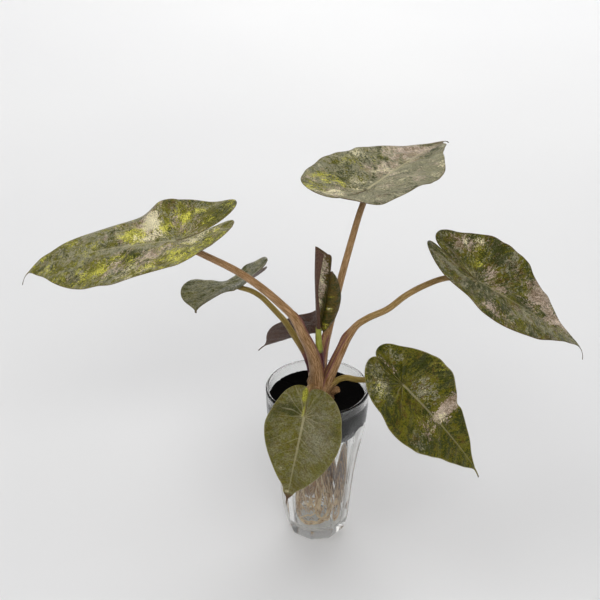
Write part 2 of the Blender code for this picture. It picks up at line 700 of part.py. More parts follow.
def add_crown(material):
    trunk = np.array([(*CROWN_AT, height) for height, _ in CROWN_SHAPE])
    girth = [radius for _, radius in CROWN_SHAPE]
    pieces = [tube("trunk", trunk, headings(trunk), girth, girth, BACK, material, sides=CROWN_SIDES)]
    for name, stalk in STALKS.items():
        route, _ = leaf_stalk_route(stalk, LEAVES[name])
        low, ahead, _, _ = split_stalk(route, stalk.sheath)
        narrowing = 1 - np.linspace(0.0, 1.0, len(low)) ** 1.6
        wide = stalk.low + (stalk.sheath_wide - stalk.low) * narrowing
        deep = stalk.low + (stalk.sheath_deep - stalk.low) * narrowing
        faces = np.array(stalk.faces)
        pieces.append(tube("sheath_" + name, low, ahead, wide, deep, faces, material, sides=10))
    stub = np.linspace(STUB_FROM, STUB_TO, 3)
    girth = np.full(3, STUB_RADIUS)
    pieces.append(tube("stub", stub, headings(stub), girth, girth, BACK, material))
    low, ahead, _, _ = split_stalk([*NEW_STALK_ROUTE, NEW_FOOT], NEW_SHEATH)
    girth = np.linspace(NEW_STALK_LOW + 0.001, NEW_STALK_LOW, len(low))
    pieces.append(tube("new_sheath", low, ahead, girth, girth, BACK, material))
    return join_by_union("crown", pieces, material)


def add_stalks(material):
    for name, stalk in STALKS.items():
        route, up = leaf_stalk_route(stalk, LEAVES[name])
        _, _, high, ahead = split_stalk(route, stalk.sheath)
        girth = np.linspace(stalk.low, stalk.high, len(high))
        faces = np.array(stalk.faces)
        tube("petiole_" + name, high, ahead, girth, girth, faces, material, last_plane=up)


def add_new_stalk(material):
    under_foot = np.array(NEW_FOOT) - GAP * UP
    _, _, high, ahead = split_stalk([*NEW_STALK_ROUTE, under_foot], NEW_SHEATH)
    girth = np.linspace(NEW_STALK_LOW, NEW_STALK_HIGH, len(high))
    tube("petiole_new", high, ahead, girth, girth, BACK, material, last_plane=UP)


def new_leaf_columns():
    """Columns of the new leaf from its rolled left edge to its right edge: x at a height, depth, foot and top."""
    columns = []
    for number, (share, depth) in enumerate(NEW_LEFT_COLUMNS):
        goal = NEW_ROLLED_EDGE if number < 2 else NEW_MIDRIB
        top = NEW_TIP + (NEW_MIDRIB[-1][0] - NEW_TIP) * (0.6 if number < 2 else 1.0) * share
        columns.append((NEW_OUTSIDE, goal, share, depth, 0.0, top))
    for share, depth, foot in NEW_RIGHT_COLUMNS:
        top = NEW_MIDRIB[-1][0] if share == 0.0 else NEW_LOBE_EDGE[-1][0]
        columns.append((NEW_MIDRIB, NEW_LOBE_EDGE, share, depth, foot, top))
    return columns


def add_new_leaf(material):
    """A blade unrolling lengthwise: its left half still rolls to the front, its right half has opened."""
    rows = np.linspace(0.0, 1.0, NEW_ROWS + 1)
    points, faces = [], []
    columns = new_leaf_columns()
    for near, far, share, depth, foot, top in columns:
        height = foot + (top - foot) * rows
        x = through(near, height) * (1 - share) + through(far, height) * share
        closing = NEW_CLOSED + (1 - NEW_CLOSED) * np.sin(np.pi * np.clip(0.08 + 0.8 * rows, 0, 1))
        points.extend(np.array(NEW_FOOT) + np.stack([x, depth * closing, height], 1))
    for c in range(len(columns) - 1):
        for r in range(NEW_ROWS):
            low, next_low = c * (NEW_ROWS + 1) + r, (c + 1) * (NEW_ROWS + 1) + r
            faces.append((low, next_low, next_low + 1))
            faces.append((low, next_low + 1, low + 1))
    return add_object("leaf_new", *slab(np.array(points), faces, np.full(len(points), BLADE_THICK)), material)


def root_route(rng, number):
    """A root from the rootstock out to the wall, then round and down to the floor of the glass."""
    share = number / ROOT_COUNT
    turn = number * ROOT_SPREAD + rng.uniform(-0.3, 0.3)
    start = smooth_route(ROOTSTOCK, 50)[int(8 + 38 * share)]
    low = FLOOR_TOP + ROOT_CLEAR + ROOT_ENDS * rng.random()
    route = [start]
    for x in np.linspace(0.0, 1.0, 9)[1:]:
        height = start[2] + (low - start[2]) * x**0.8
        swell = np.sin(np.pi * min(1.0, x * 0.9 + 0.1 * rng.random()))
        reach = (inside_radius(height) - ROOT_CLEAR) * (0.55 + 0.4 * swell)
        turn += rng.uniform(-0.1, 0.35)
        goal = np.array([reach * np.cos(turn), reach * np.sin(turn)])
        mix = min(1.0, 0.25 + x)
        route.append(np.array([*(start[:2] * (1 - mix) + goal * mix), height]))
    return route


def add_roots(material):
    rng = np.random.default_rng(ROOT_SEED)
    stock = smooth_route(ROOTSTOCK, 9)
    ahead = headings(stock)
    ahead[0] = -UP
    girth = through(ROOTSTOCK_GIRTH, np.linspace(0.0, 1.0, len(stock)))
    pieces = [tube("rootstock", stock, ahead, girth, girth, BACK, material, sides=9)]
    for number in range(ROOT_COUNT):
        route = smooth_route(root_route(rng, number), 13)
        girth = rng.uniform(ROOT_THIN, ROOT_THICK) * np.linspace(1.15, 0.6, len(route))
        side = np.array([0.3, 0.9, 0.2])
        pieces.append(tube("root", route, headings(route), girth, girth, side, material, sides=ROOT_SIDES))
    return join_by_union("roots", pieces, material)


def main():
    clear_scene()
    clear = plain_material("clear_glass", (0.95, 0.97, 0.96), 0.02, transmission=1.0)
    foam = plain_material("black_foam", (0.015, 0.015, 0.016), 0.9)
    bark = plain_material("stalk_skin", (0.27, 0.19, 0.09), 0.45)
    lime = plain_material("lime_stalk", (0.42, 0.50, 0.08), 0.45)
    tan = plain_material("root_skin", (0.50, 0.38, 0.24), 0.6)
    green = plain_material("leaf_olive", (0.16, 0.19, 0.05), 0.35)
    purple = plain_material("leaf_purple", (0.10, 0.06, 0.05), 0.45)
    add_glass(clear)
    add_collar(foam)
    add_crown(bark)
    add_roots(tan)
    add_stalks(bark)
    add_new_stalk(lime)
    add_new_leaf(purple)
    for name, leaf in LEAVES.items():
        add_blade("leaf_" + name, leaf, purple if name == "back" else green)


main()
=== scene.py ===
"""The looks of a variegated alocasia with bare roots, held by a foam collar in a clear drinking glass.

Metres, +Z up. The origin is the centre of the glass's flat underside. -Y is the front.
Each blade, stalk, sheath and root follows the same named values as its solid, with finer steps and relief.
"""

from dataclasses import dataclass

import bpy
import numpy as np
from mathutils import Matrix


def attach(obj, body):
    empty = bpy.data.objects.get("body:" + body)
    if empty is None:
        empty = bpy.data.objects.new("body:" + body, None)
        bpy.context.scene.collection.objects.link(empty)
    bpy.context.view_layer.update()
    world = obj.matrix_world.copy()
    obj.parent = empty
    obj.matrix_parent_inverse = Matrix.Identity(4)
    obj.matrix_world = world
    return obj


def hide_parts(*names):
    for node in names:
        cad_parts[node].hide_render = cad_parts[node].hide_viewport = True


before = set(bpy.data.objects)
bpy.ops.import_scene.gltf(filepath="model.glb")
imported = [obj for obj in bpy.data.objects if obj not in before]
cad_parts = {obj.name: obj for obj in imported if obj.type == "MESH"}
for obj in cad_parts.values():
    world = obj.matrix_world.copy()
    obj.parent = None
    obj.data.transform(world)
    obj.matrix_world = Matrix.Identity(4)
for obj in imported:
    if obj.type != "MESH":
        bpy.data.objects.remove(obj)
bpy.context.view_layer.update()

MM = 0.001
BACK = np.array([0.0, 1.0, 0.0])

# ---- The camera, as the photograph was taken ---------------------------------------------------------------

CAMERA_AT = (-0.0139, -0.8867, 0.7289)
CAMERA_TILT = np.radians(60.1)
CAMERA_SENSOR = 36.0
IMAGE_WIDE = 600.0
FOCAL_LENGTH = 1333.0  # in pixels of the image
CAMERA_LENS = FOCAL_LENGTH / IMAGE_WIDE * CAMERA_SENSOR
CAMERA_NEAREST = 0.01

# ---- The glass ---------------------------------------------------------------------------------------------

# Outer radius at heights from the foot to the rim, measured over the ridges between its facets.
GLASS_OUTSIDE = (
    (0.000, 0.0215),
    (0.0025, 0.0235),
    (0.008, 0.0256),
    (0.017, 0.0276),
    (0.030, 0.0290),
    (0.045, 0.0304),
    (0.067, 0.0329),
    (0.086, 0.0358),
    (0.100, 0.0386),
    (0.110, 0.0400),
    (0.120, 0.0406),
    (0.140, 0.0412),
)
GLASS_HEIGHT = 0.140
FACETS = 9
FACET_STEPS = 18
FACET_TURN = np.radians(-82.0)
FACET_FULL = 0.100
ARCH_TOP = 0.127
WALL_RIM = 0.0026
WALL_FACETED = 0.0020
FLOOR_TOP = 0.011
FLOOR_ROUND = 0.004
FOOT_ROUND = 0.0012
FOOT_ROUND_HIGH = 0.0008
FOOT_HOLLOW = 0.0010
FACET_SOFT = 0.0004
FLOOR_DIP = 0.0004
# Rings of the mesh: shares of the radius over the foot and over the inner floor, and counts up the walls.
FOOT_SHARES = (0.35, 0.6, 0.8, 0.9)
FLOOR_SHARES = (0.75, 0.5, 0.25)
FOOT_BAND = 0.004
FOOT_BAND_RINGS = 8
OUTSIDE_FROM = 0.005
OUTSIDE_RINGS = 110
LIP_RINGS = 12
INSIDE_RINGS = 90
CORNER_RINGS = 8

# ---- The foam collar ---------------------------------------------------------------------------------------

COLLAR_BOTTOM = 0.107
COLLAR_TOP = 0.132
COLLAR_HOLE = 0.0125
COLLAR_STEPS = 220
COLLAR_ACROSS = 28
COLLAR_DOWN = 12
COLLAR_SEED = 3
SLIT_AT = np.radians(143.0)
SLIT_WIDE = np.radians(3.0)
GAP = 0.0003
# The foam is pressed flat to the wall: it reaches this far into the glass, so that no air shows between them.
FOAM_PRESS = 0.0001
# Its edges sink by this much and the sinking fades this fast across it, and its skin is this rough.
FOAM_SOFT = 0.0012
FOAM_FADE = 14
FOAM_ROUGH = 0.00012

# ---- The crown ---------------------------------------------------------------------------------------------

CROWN_AT = (0.002, 0.0)
CROWN_FOOT = COLLAR_HOLE - GAP
CROWN_BOTTOM = 0.110
CROWN_SHAPE = (
    (CROWN_BOTTOM, CROWN_FOOT),
    (0.131, CROWN_FOOT),
    (0.137, 0.0110),
    (0.146, 0.0105),
    (0.153, 0.0088),
    (0.158, 0.0052),
)
CROWN_ROWS = 60
CROWN_SIDES = 72
# Old leaf scars ring the stem this far apart and stand out this much, and lumps make it uneven: how high, how
# many radians to a metre, and how purple a scar is to a metre of its height.
SCAR_GAP = 0.0065
SCAR_HIGH = 0.00035
LUMP_HIGH = 0.0004
LUMPS_UP = 900
SCAR_BLUSH = 1200
# The radius is this much under the solid's, so that the lumps stay within it.
SKIN_DEEP = 0.0008
STUB_FROM = (0.008, -0.002, 0.134)
STUB_TO = (0.0160, -0.007, 0.1415)
STUB_RADIUS = 0.0027
STUB_ROWS = 16
STUB_TAPER = (1.1, 0.97)
STUB_SKIN_STEP = 0.8
# Rings over the stub's cut face: share of the way in, and how deep.
STUB_CUT = ((0.10, -0.0002), (0.2, 0.0003), (0.6, 0.0006))

# ---- The blades --------------------------------------------------------------------------------------------

BLADE_THICK = 0.0007
MIDRIB_DEEP = 0.0013
THREAD_HALF = 0.0006
SINUS_HALF = 0.0005

# Half width of a blade ahead of the stalk, as fractions of the length and of the widest half width.
BLADE_OUTLINE = (
    (0.00, 0.96),
    (0.16, 1.00),
    (0.43, 0.87),
    (0.62, 0.65),
    (0.76, 0.41),
    (0.87, 0.16),
    (0.94, 0.06),
    (1.00, 0.00),
)

BLADE_COLUMNS = 40
COLUMN_CROWD = 0.9
LOBE_ROWS = 34
FRONT_ROWS = 92
THREAD_ROWS = 12
MIDRIB_STEPS = 240
DRIP_STEPS = 40
# The drip tip's own bend starts at this share of the blade's length.
DRIP_FROM = 0.93
# The waves of the right half lag by this many radians.
WAVE_LAG = 1.9

# Side veins: how many leave the midrib, how far they lean forward and bow, and the fan that fills a lobe.
VEINS_AHEAD = 8.0
VEIN_LEAN = np.tan(np.radians(24.0))
VEIN_BOW = 0.28
VEIN_FAN = np.radians(23.0)
VEIN_GROOVE = 0.00022
VEIN_GROOVE_WIDE = 0.0008
VEIN_RIDGE = 0.0004
QUILT_HIGH = 0.00055
QUILT_WIDE = 0.0026
VEIN_WANDER = 0.12
WANDER_PER_VEIN = 0.37
WANDER_PER_METRE = 300
WANDER_FROM = 0.010
# Bumps of a blade: how high, how long, how far turned and where they start.
BUMPS = ((0.0011, 0.031, 0.5, 0.0), (0.0007, 0.017, 2.1, 1.3), (0.00035, 0.0085, 3.7, 2.2))
BUMP_ASPECT = 1.3
# On a half narrower than this the bumps are lower, but never under this share.
BUMP_HALF = 0.045
BUMP_LEAST = 0.5
VALLEY_ROUND = 0.0035
MIDRIB_WIDE = 0.0013
MARGIN_THICK = 0.00035
MARGIN_WIDE = 0.0022
# Relief fades in over these distances from the midrib and from the margin.
VEINS_FADE_IN = (0.004, 0.003)
BUMPS_FADE_IN = (0.008, 0.012)


@dataclass
class Leaf:
    """One leaf: where its stalk meets the blade, how large it is, how it points and how it bends.

    Lengths are in metres and angles in degrees. Left and right are seen from the stalk, facing the tip.
    Lifts raise the margin and nicks push it out: where (share of the way from lobe to tip), how wide and
    how far. A higher sinus keeps the lobes together for more of their length.
    """

    at: tuple
    length: float
    half_left: float
    half_right: float
    yaw: float
    pitch: float
    roll: float = 0.0
    lobe: float = 0.41
    lobe_spread: float = 0.32
    sinus: float = 8.0
    droop: float = 15.0
    sweep: float = 0.0
    twist: float = 0.0
    fold_left: float = 10.0
    fold_right: float = 10.0
    curl_left: float = 12.0
    curl_right: float = 12.0
    lobe_rise_left: float = 0.0
    lobe_rise_right: float = 0.0
    lifts_left: tuple = ()
    lifts_right: tuple = ()
    nicks_left: tuple = ()
    nicks_right: tuple = ()
    wave: float = 0.02
    waves: float = 3.0
    phase: float = 0.0
    drip: float = 0.006
    drip_droop: float = 35.0
    drip_sweep: float = 0.0

    def of(self, what, side):
        """What one half has: side is +1 left, -1 right."""
        return getattr(self, what + ("_left" if side > 0 else "_right"))


LEAVES = {
    "left": Leaf(
        at=(-0.105, -0.015, 0.278),
        length=0.123, half_left=0.057, half_right=0.047,
        yaw=180, pitch=-7, roll=0, lobe=0.38, lobe_spread=0.36, sinus=3.5,
        droop=23, sweep=-14, twist=-25, fold_left=5, fold_right=5, curl_left=1, curl_right=9,
        lobe_rise_left=21, lobe_rise_right=19,
        lifts_left=((0.19, 0.29, 0.005), (0.76, 0.12, -0.004)),
        lifts_right=((0.75, 0.25, -0.017), (0.34, 0.09, 0.011), (0.21, 0.10, 0.009)),
        nicks_left=((0.57, 0.05, -0.003), (0.92, 0.05, 0.0025)),
        nicks_right=((0.08, 0.10, -0.002), (0.34, 0.04, -0.0015), (0.92, 0.04, 0.003)),
        drip=0.013, drip_droop=46, drip_sweep=-19,
    ),
    "top": Leaf(
        at=(0.0365, 0.020, 0.3022),
        length=0.108, half_left=0.051, half_right=0.044,
        yaw=54, pitch=3, roll=-8, lobe=0.40, lobe_spread=0.30,
        droop=2, sweep=-4, twist=-11, fold_left=16, fold_right=13, curl_left=-3, curl_right=8,
        lobe_rise_left=14, lobe_rise_right=16,
        lifts_left=((0.27, 0.19, 0.002),), lifts_right=((0.57, 0.17, -0.011), (0.00, 0.12, -0.014)),
        nicks_left=((0.13, 0.06, -0.0016), (0.42, 0.05, -0.002), (0.62, 0.04, 0.0035), (0.81, 0.05, -0.004)),
        nicks_right=((0.05, 0.06, 0.004), (0.48, 0.04, -0.0014), (0.61, 0.05, 0.0021), (0.75, 0.035, -0.0018),
                     (0.88, 0.04, 0.004)),
        drip=0.007, drip_droop=39, drip_sweep=8,
    ),
    "right": Leaf(
        at=(0.120, -0.008, 0.240),
        length=0.094, half_left=0.040, half_right=0.045,
        yaw=-25, pitch=-22, roll=-12, lobe=0.49, lobe_spread=0.32,
        droop=15, sweep=15, twist=8, fold_left=10, fold_right=10, curl_left=5, curl_right=11,
        lobe_rise_left=12, lobe_rise_right=13,
        lifts_left=((0.35, 0.32, 0.020),), lifts_right=((0.70, 0.25, -0.010),),
        nicks_left=((0.09, 0.05, -0.002), (0.26, 0.06, 0.0018), (0.43, 0.05, -0.0019), (0.54, 0.03, 0.0012),
                    (0.72, 0.03, 0.002), (0.84, 0.05, -0.004)),
        nicks_right=((0.41, 0.05, 0.0018), (0.74, 0.04, 0.0012), (0.91, 0.03, 0.002)),
        drip=0.009, drip_droop=56, drip_sweep=2,
    ),
    "low_right": Leaf(
        at=(0.0635, -0.045, 0.171),
        length=0.088, half_left=0.030, half_right=0.040,
        yaw=-26, pitch=-39, roll=12, lobe=0.37, lobe_spread=0.32,
        droop=17, sweep=9, twist=15, fold_left=10, fold_right=11, curl_left=15, curl_right=4,
        lobe_rise_left=-4, lobe_rise_right=9,
        lifts_left=((0.36, 0.21, 0.019),), lifts_right=((0.53, 0.21, -0.006),),
        nicks_left=((0.09, 0.05, -0.0013), (0.38, 0.05, -0.0015), (0.61, 0.03, -0.0025),
                    (0.76, 0.08, -0.001)),
        nicks_right=((0.36, 0.06, 0.0012), (0.61, 0.04, 0.0012), (0.75, 0.04, -0.0014), (0.91, 0.06, 0.0034)),
        drip=0.007, drip_droop=15, drip_sweep=7,
    ),
    "front": Leaf(
        at=(-0.0105, -0.062, 0.153),
        length=0.064, half_left=0.035, half_right=0.026,
        yaw=-112, pitch=-57, roll=9, lobe=0.36, lobe_spread=0.28,
        droop=14, sweep=-9, twist=-19, fold_left=14, fold_right=13, curl_left=9, curl_right=10,
        lobe_rise_left=7, lobe_rise_right=-5,
        lifts_left=((0.44, 0.20, -0.004),), lifts_right=((0.47, 0.22, 0.008),),
        nicks_left=((0.87, 0.04, 0.0011), (0.95, 0.04, 0.0012)),
        nicks_right=((0.30, 0.12, 0.001), (0.94, 0.04, 0.0018)),
        drip=0.005, drip_droop=20, drip_sweep=-45,
    ),
    "back_left": Leaf(
        at=(-0.0636, 0.046, 0.206),
        length=0.046, half_left=0.029, half_right=0.045,
        yaw=184, pitch=-13, roll=35, lobe=0.58, lobe_spread=0.31,
        droop=-7, sweep=72, twist=-2, fold_left=8, fold_right=22, curl_left=22, curl_right=-7,
        lobe_rise_left=16, lobe_rise_right=23,
        lifts_left=((0.37, 0.16, -0.005),), lifts_right=((0.47, 0.11, -0.011), (0.81, 0.14, 0.007)),
        drip=0.002, drip_droop=6, drip_sweep=23,
    ),
    "back": Leaf(
        at=(0.0005, 0.060, 0.154),
        length=0.049, half_left=0.034, half_right=0.025,
        yaw=185, pitch=-12, roll=48, lobe=0.28, lobe_spread=0.28,
        droop=24, sweep=-23, twist=-8, fold_left=20, fold_right=20, curl_left=7, curl_right=9,
        lobe_rise_left=12, lobe_rise_right=17,
        lifts_left=((0.42, 0.20, -0.002),), lifts_right=((0.45, 0.19, 0.005),),
        drip=0.007, drip_droop=19, drip_sweep=-4,
    ),
}

# How much of each tint a blade has all over, and the patches where it has more or less: tint, place across
# (left of the midrib is plus) and along, reach across and along, all in millimetres, and amount.
# The grey tint is partly the blades' own grey-green and partly painted sheen.
TINTS = ("lime", "pink", "cream", "dark", "grey_and_sheen", "brown")
TINTS_ALL_OVER = {
    "left": (0.20, 0.13, 0.06, 0.25, 0.44, 0.06),
    "top": (0.04, 0.10, 0.10, 0.30, 0.95, 0.05),
    "right": (0.03, 0.10, 0.03, 0.55, 0.24, 0.22),
    "low_right": (0.03, 0.04, 0.02, 0.56, 0.00, 0.20),
    "front": (-0.4, -0.4, -0.4, 0.34, 0.50, 0.45),
    "back_left": (0.02, 0.04, 0.02, 0.65, 0.80, 0.15),
    "back": (0.02, 0.02, 0.02, 0.30, 0.40, 0.20),
    "new": (0.05, 0.02, 0.02, 0.50, -0.20, 1.20),
}
PATCHES = {
    "left": (
        # On the left blade, grey along the midrib paints a band of sheen.
        ("grey_and_sheen", 3, 26, 6, 44, 1.30), ("lime", 4, 30, 8, 40, 0.02), ("dark", 4, 30, 6, 40, 0.12),
        ("grey_and_sheen", -20, 52, 14, 18, 0.95), ("dark", 19, 67, 22, 20, 0.26), ("lime", -20, 52, 12, 16, 0.08),
        ("pink", -18, 48, 12, 16, 0.30), ("brown", -36, 8, 10, 9, 0.40), ("lime", -36, 8, 10, 9, 0.14),
        ("pink", -40, 21, 9, 7, 0.60), ("dark", -21, -34, 18, 12, 0.75), ("lime", -21, -36, 16, 10, 0.22),
        # The pink and cream at -24 across and 23 along are partly a painted highlight, where a fold faces the
        # light.
        ("lime", -32, -14, 9, 9, 0.60), ("pink", -22, 1, 10, 6, 0.60), ("pink", -24, 23, 17, 9, 1.40),
        ("cream", -24, 22, 14, 7, 1.30), ("dark", -24, 23, 13, 7, 0.02), ("lime", -14, 33, 12, 9, 1.30),
        ("grey_and_sheen", -16, 24, 18, 22, 0.20),
        ("cream", -12, 30, 8, 6, 0.35), ("lime", -19, 11, 12, 6, 0.90), ("cream", -12, 15, 8, 6, 0.80),
        ("lime", -22, -3, 9, 6, 0.95), ("pink", -14, -8, 9, 8, 0.50), ("cream", 8, -20, 8, 13, 0.75),
        ("lime", 14, -22, 8, 14, 0.45), ("grey_and_sheen", 22, -20, 9, 20, 0.85), ("grey_and_sheen", 22, 31, 13, 9, 0.10),
        ("dark", 22, 31, 13, 9, 1.05), ("pink", 32, 18, 17, 8, 0.90), ("cream", 47, 27, 10, 8, 0.50),
        ("lime", 31, -5, 20, 9, 0.82), ("lime", 35, -24, 12, 11, 0.72), ("lime", 27, 58, 9, 7, 0.90),
        ("pink", 25, 42, 13, 9, 0.62), ("lime", 25, 44, 12, 9, 0.42), ("grey_and_sheen", 14, 0, 14, 14, 0.80),
        ("pink", 14, 2, 10, 14, 0.45),
    ),
    "top": (
        # Grey over most of the top blade's right half paints its sheen.
        ("grey_and_sheen", -22, 10, 26, 62, 1.35), ("pink", -22, 10, 20, 50, 0.16), ("cream", -22, 10, 22, 54, 0.14),
        ("lime", -22, 10, 26, 60, 0.00),
        ("brown", 4, 103, 14, 12, 1.00), ("dark", -24, 44, 14, 30, 0.12),
        ("dark", -14, 86, 14, 16, 0.70), ("lime", 33, -12, 9, 9, 0.80), ("lime", 22, -8, 8, 6, 0.80),
        ("dark", 20, 0, 12, 5, 0.80), ("lime", 24, -32, 11, 10, 0.50), ("cream", 11, -32, 7, 13, 0.50),
        ("pink", 12, -30, 8, 14, 0.45), ("cream", 9, 0, 6, 14, 0.45), ("dark", 26, 16, 12, 14, 0.75),
        ("dark", 24, 40, 14, 16, 0.80), ("lime", 26, 30, 16, 22, 0.20), ("cream", 37, 43, 8, 9, 0.30),
        ("pink", 8, 38, 12, 16, 0.60), ("cream", 6, 34, 8, 12, 0.25), ("pink", 10, 72, 18, 15, 1.25),
        ("lime", 10, 72, 18, 15, 0.00), ("dark", 10, 72, 18, 15, 0.10), ("cream", -36, 55, 4, 5, 0.80),
        ("grey_and_sheen", 40, -10, 12, 16, 0.95), ("pink", 38, -22, 8, 8, 0.40),
    ),
    "right": (
        ("grey_and_sheen", -17, -10, 15, 30, 1.10), ("lime", -17, -10, 13, 26, 0.06), ("pink", -17, -10, 13, 26, 0.14),
        ("dark", -17, -14, 12, 16, 0.12), ("grey_and_sheen", -12, 52, 14, 24, 0.95),
        ("dark", -12, 50, 12, 22, 0.35), ("dark", -22, 10, 13, 16, 1.00), ("pink", 22, -32, 9, 9, 0.60),
        ("pink", 28, -18, 8, 9, 0.60), ("cream", 29, -20, 6, 10, 0.42), ("lime", 17, -12, 11, 10, 0.10),
        ("lime", 26, -13, 3, 3, 0.60), ("lime", 18, -5, 4, 3, 0.60), ("dark", 31, 0, 9, 12, 0.95),
        ("dark", 12, 10, 9, 12, 0.60), ("pink", 14, 4, 7, 9, 0.45), ("grey_and_sheen", 30, 14, 8, 10, 0.80),
        ("brown", 22, 23, 12, 10, 0.50), ("pink", 24, 48, 14, 12, 1.30), ("pink", 12, 66, 9, 16, 1.10),
        ("dark", 5, 38, 5, 16, 0.80), ("pink", 10, 42, 4, 10, 0.60), ("pink", -33, 24, 9, 11, 0.55),
        ("pink", 5, 15, 5, 7, 0.60), ("pink", -18, 36, 12, 12, 0.30), ("lime", -30, 32, 6, 16, 0.12),
        ("dark", -8, 14, 9, 16, 0.90),
    ),
    "low_right": (
        ("dark", 14, -10, 16, 14, 0.65), ("grey_and_sheen", -20, -15, 14, 14, 1.10), ("cream", -20, -13, 11, 11, 0.18),
        ("lime", -19, -12, 13, 13, 0.22),
        ("grey_and_sheen", 8, 16, 9, 11, 1.05), ("cream", 9, 15, 7, 9, 0.25), ("dark", 8, 15, 9, 11, 0.20),
        ("pink", 3, -18, 3, 9, 0.55), ("grey_and_sheen", 14, -20, 5, 7, 0.95), ("pink", 13, 37, 13, 6, 1.70),
        ("dark", 12, 36, 14, 7, 0.10), ("cream", 4, 38, 5, 4, 0.60), ("pink", -12, 36, 9, 10, 0.45),
        ("cream", -12, 36, 8, 9, 0.14), ("dark", -21, 44, 11, 8, 0.80), ("grey_and_sheen", -26, 38, 8, 8, 0.90),
        ("lime", 30, 10, 7, 12, 0.20), ("dark", 12, 60, 10, 14, 0.60), ("brown", -14, 12, 10, 16, 0.45),
        ("lime", -10, 28, 12, 16, 0.12),
    ),
    "front": (
        ("grey_and_sheen", 16, 12, 13, 20, 0.80), ("dark", -23, 14, 6, 20, 0.55), ("dark", 30, 6, 5, 14, 0.50),
        # The dark patch at -12 across and -3 along is painted shade in the fold by the stalk's end.
        ("dark", -12, -3, 9, 5, 0.92), ("lime", -3, -17, 3.5, 8, 1.1), ("lime", -1.5, -4, 1.8, 6, 0.9),
        ("cream", -9, 42, 4, 2.0, 0.42), ("cream", -1, 58, 3.0, 2.0, 0.50), ("brown", -2, 30, 20, 30, 0.45),
    ),
    "back_left": (
        ("dark", -14, 24, 20, 8, 0.60), ("grey_and_sheen", -11, -16, 30, 10, 1.0), ("cream", -9, -2, 4, 6, 0.40),
    ),
    "back": (),
    "new": (
        ("grey_and_sheen", -10, 40, 6, 30, 1.00), ("brown", -10, 40, 6, 30, 0.10), ("dark", -10, 40, 6, 30, 0.12),
        # The dark patch at -4 across and 14 along is painted shadow in the gap between the rolled half and
        # the open lobe.
        ("cream", -10, 40, 5, 26, 0.62), ("pink", -8, 42, 6, 26, 0.95), ("dark", -4, 14, 5, 14, 0.85),
        ("lime", 8, 25, 3.0, 2.5, 0.80), ("lime", 6, 38, 6, 4, 0.18), ("lime", 9, 6, 5, 4, 0.45),
        ("cream", 8, 26, 2, 1.5, 0.60),
    ),
}
# The grains of each blade are drawn this far on from the last one's, and those of the new leaf from here.
GRAINS_APART = 40.0
NEW_GRAINS_AT = 300.0
# How freckled a blade is, how clearly its side veins and its midrib show, how pale its rim is, and from which
# share of its length on its tip turns brown.
HABITS = {
    "left": (1.0, 0.35, 0.55, 0.3, 0.90),
    "top": (1.0, 0.50, 1.40, 0.2, 0.88),
    "right": (1.0, 0.35, 0.45, 0.0, 0.88),
    "low_right": (1.0, 0.20, 0.60, 0.7, 0.92),
    "front": (0.30, 0.42, 0.70, 0.8, 0.80),
    "back_left": (0.5, 0.20, 0.40, 0.4, 0.90),
    "back": (0.5, 0.20, 0.40, 0.0, 0.90),
    "new": (0.9, 0.10, 0.30, 0.0, 0.90),
}


@dataclass
class Stalk:
    """One leaf stalk: its route up from the crown, the sheath at its foot, and its radius low and high.

    The sheath is open towards the side that it faces.
    """

    route: tuple
    sheath: float
    sheath_wide: float
    sheath_deep: float
    low: float
    high: float
    faces: tuple


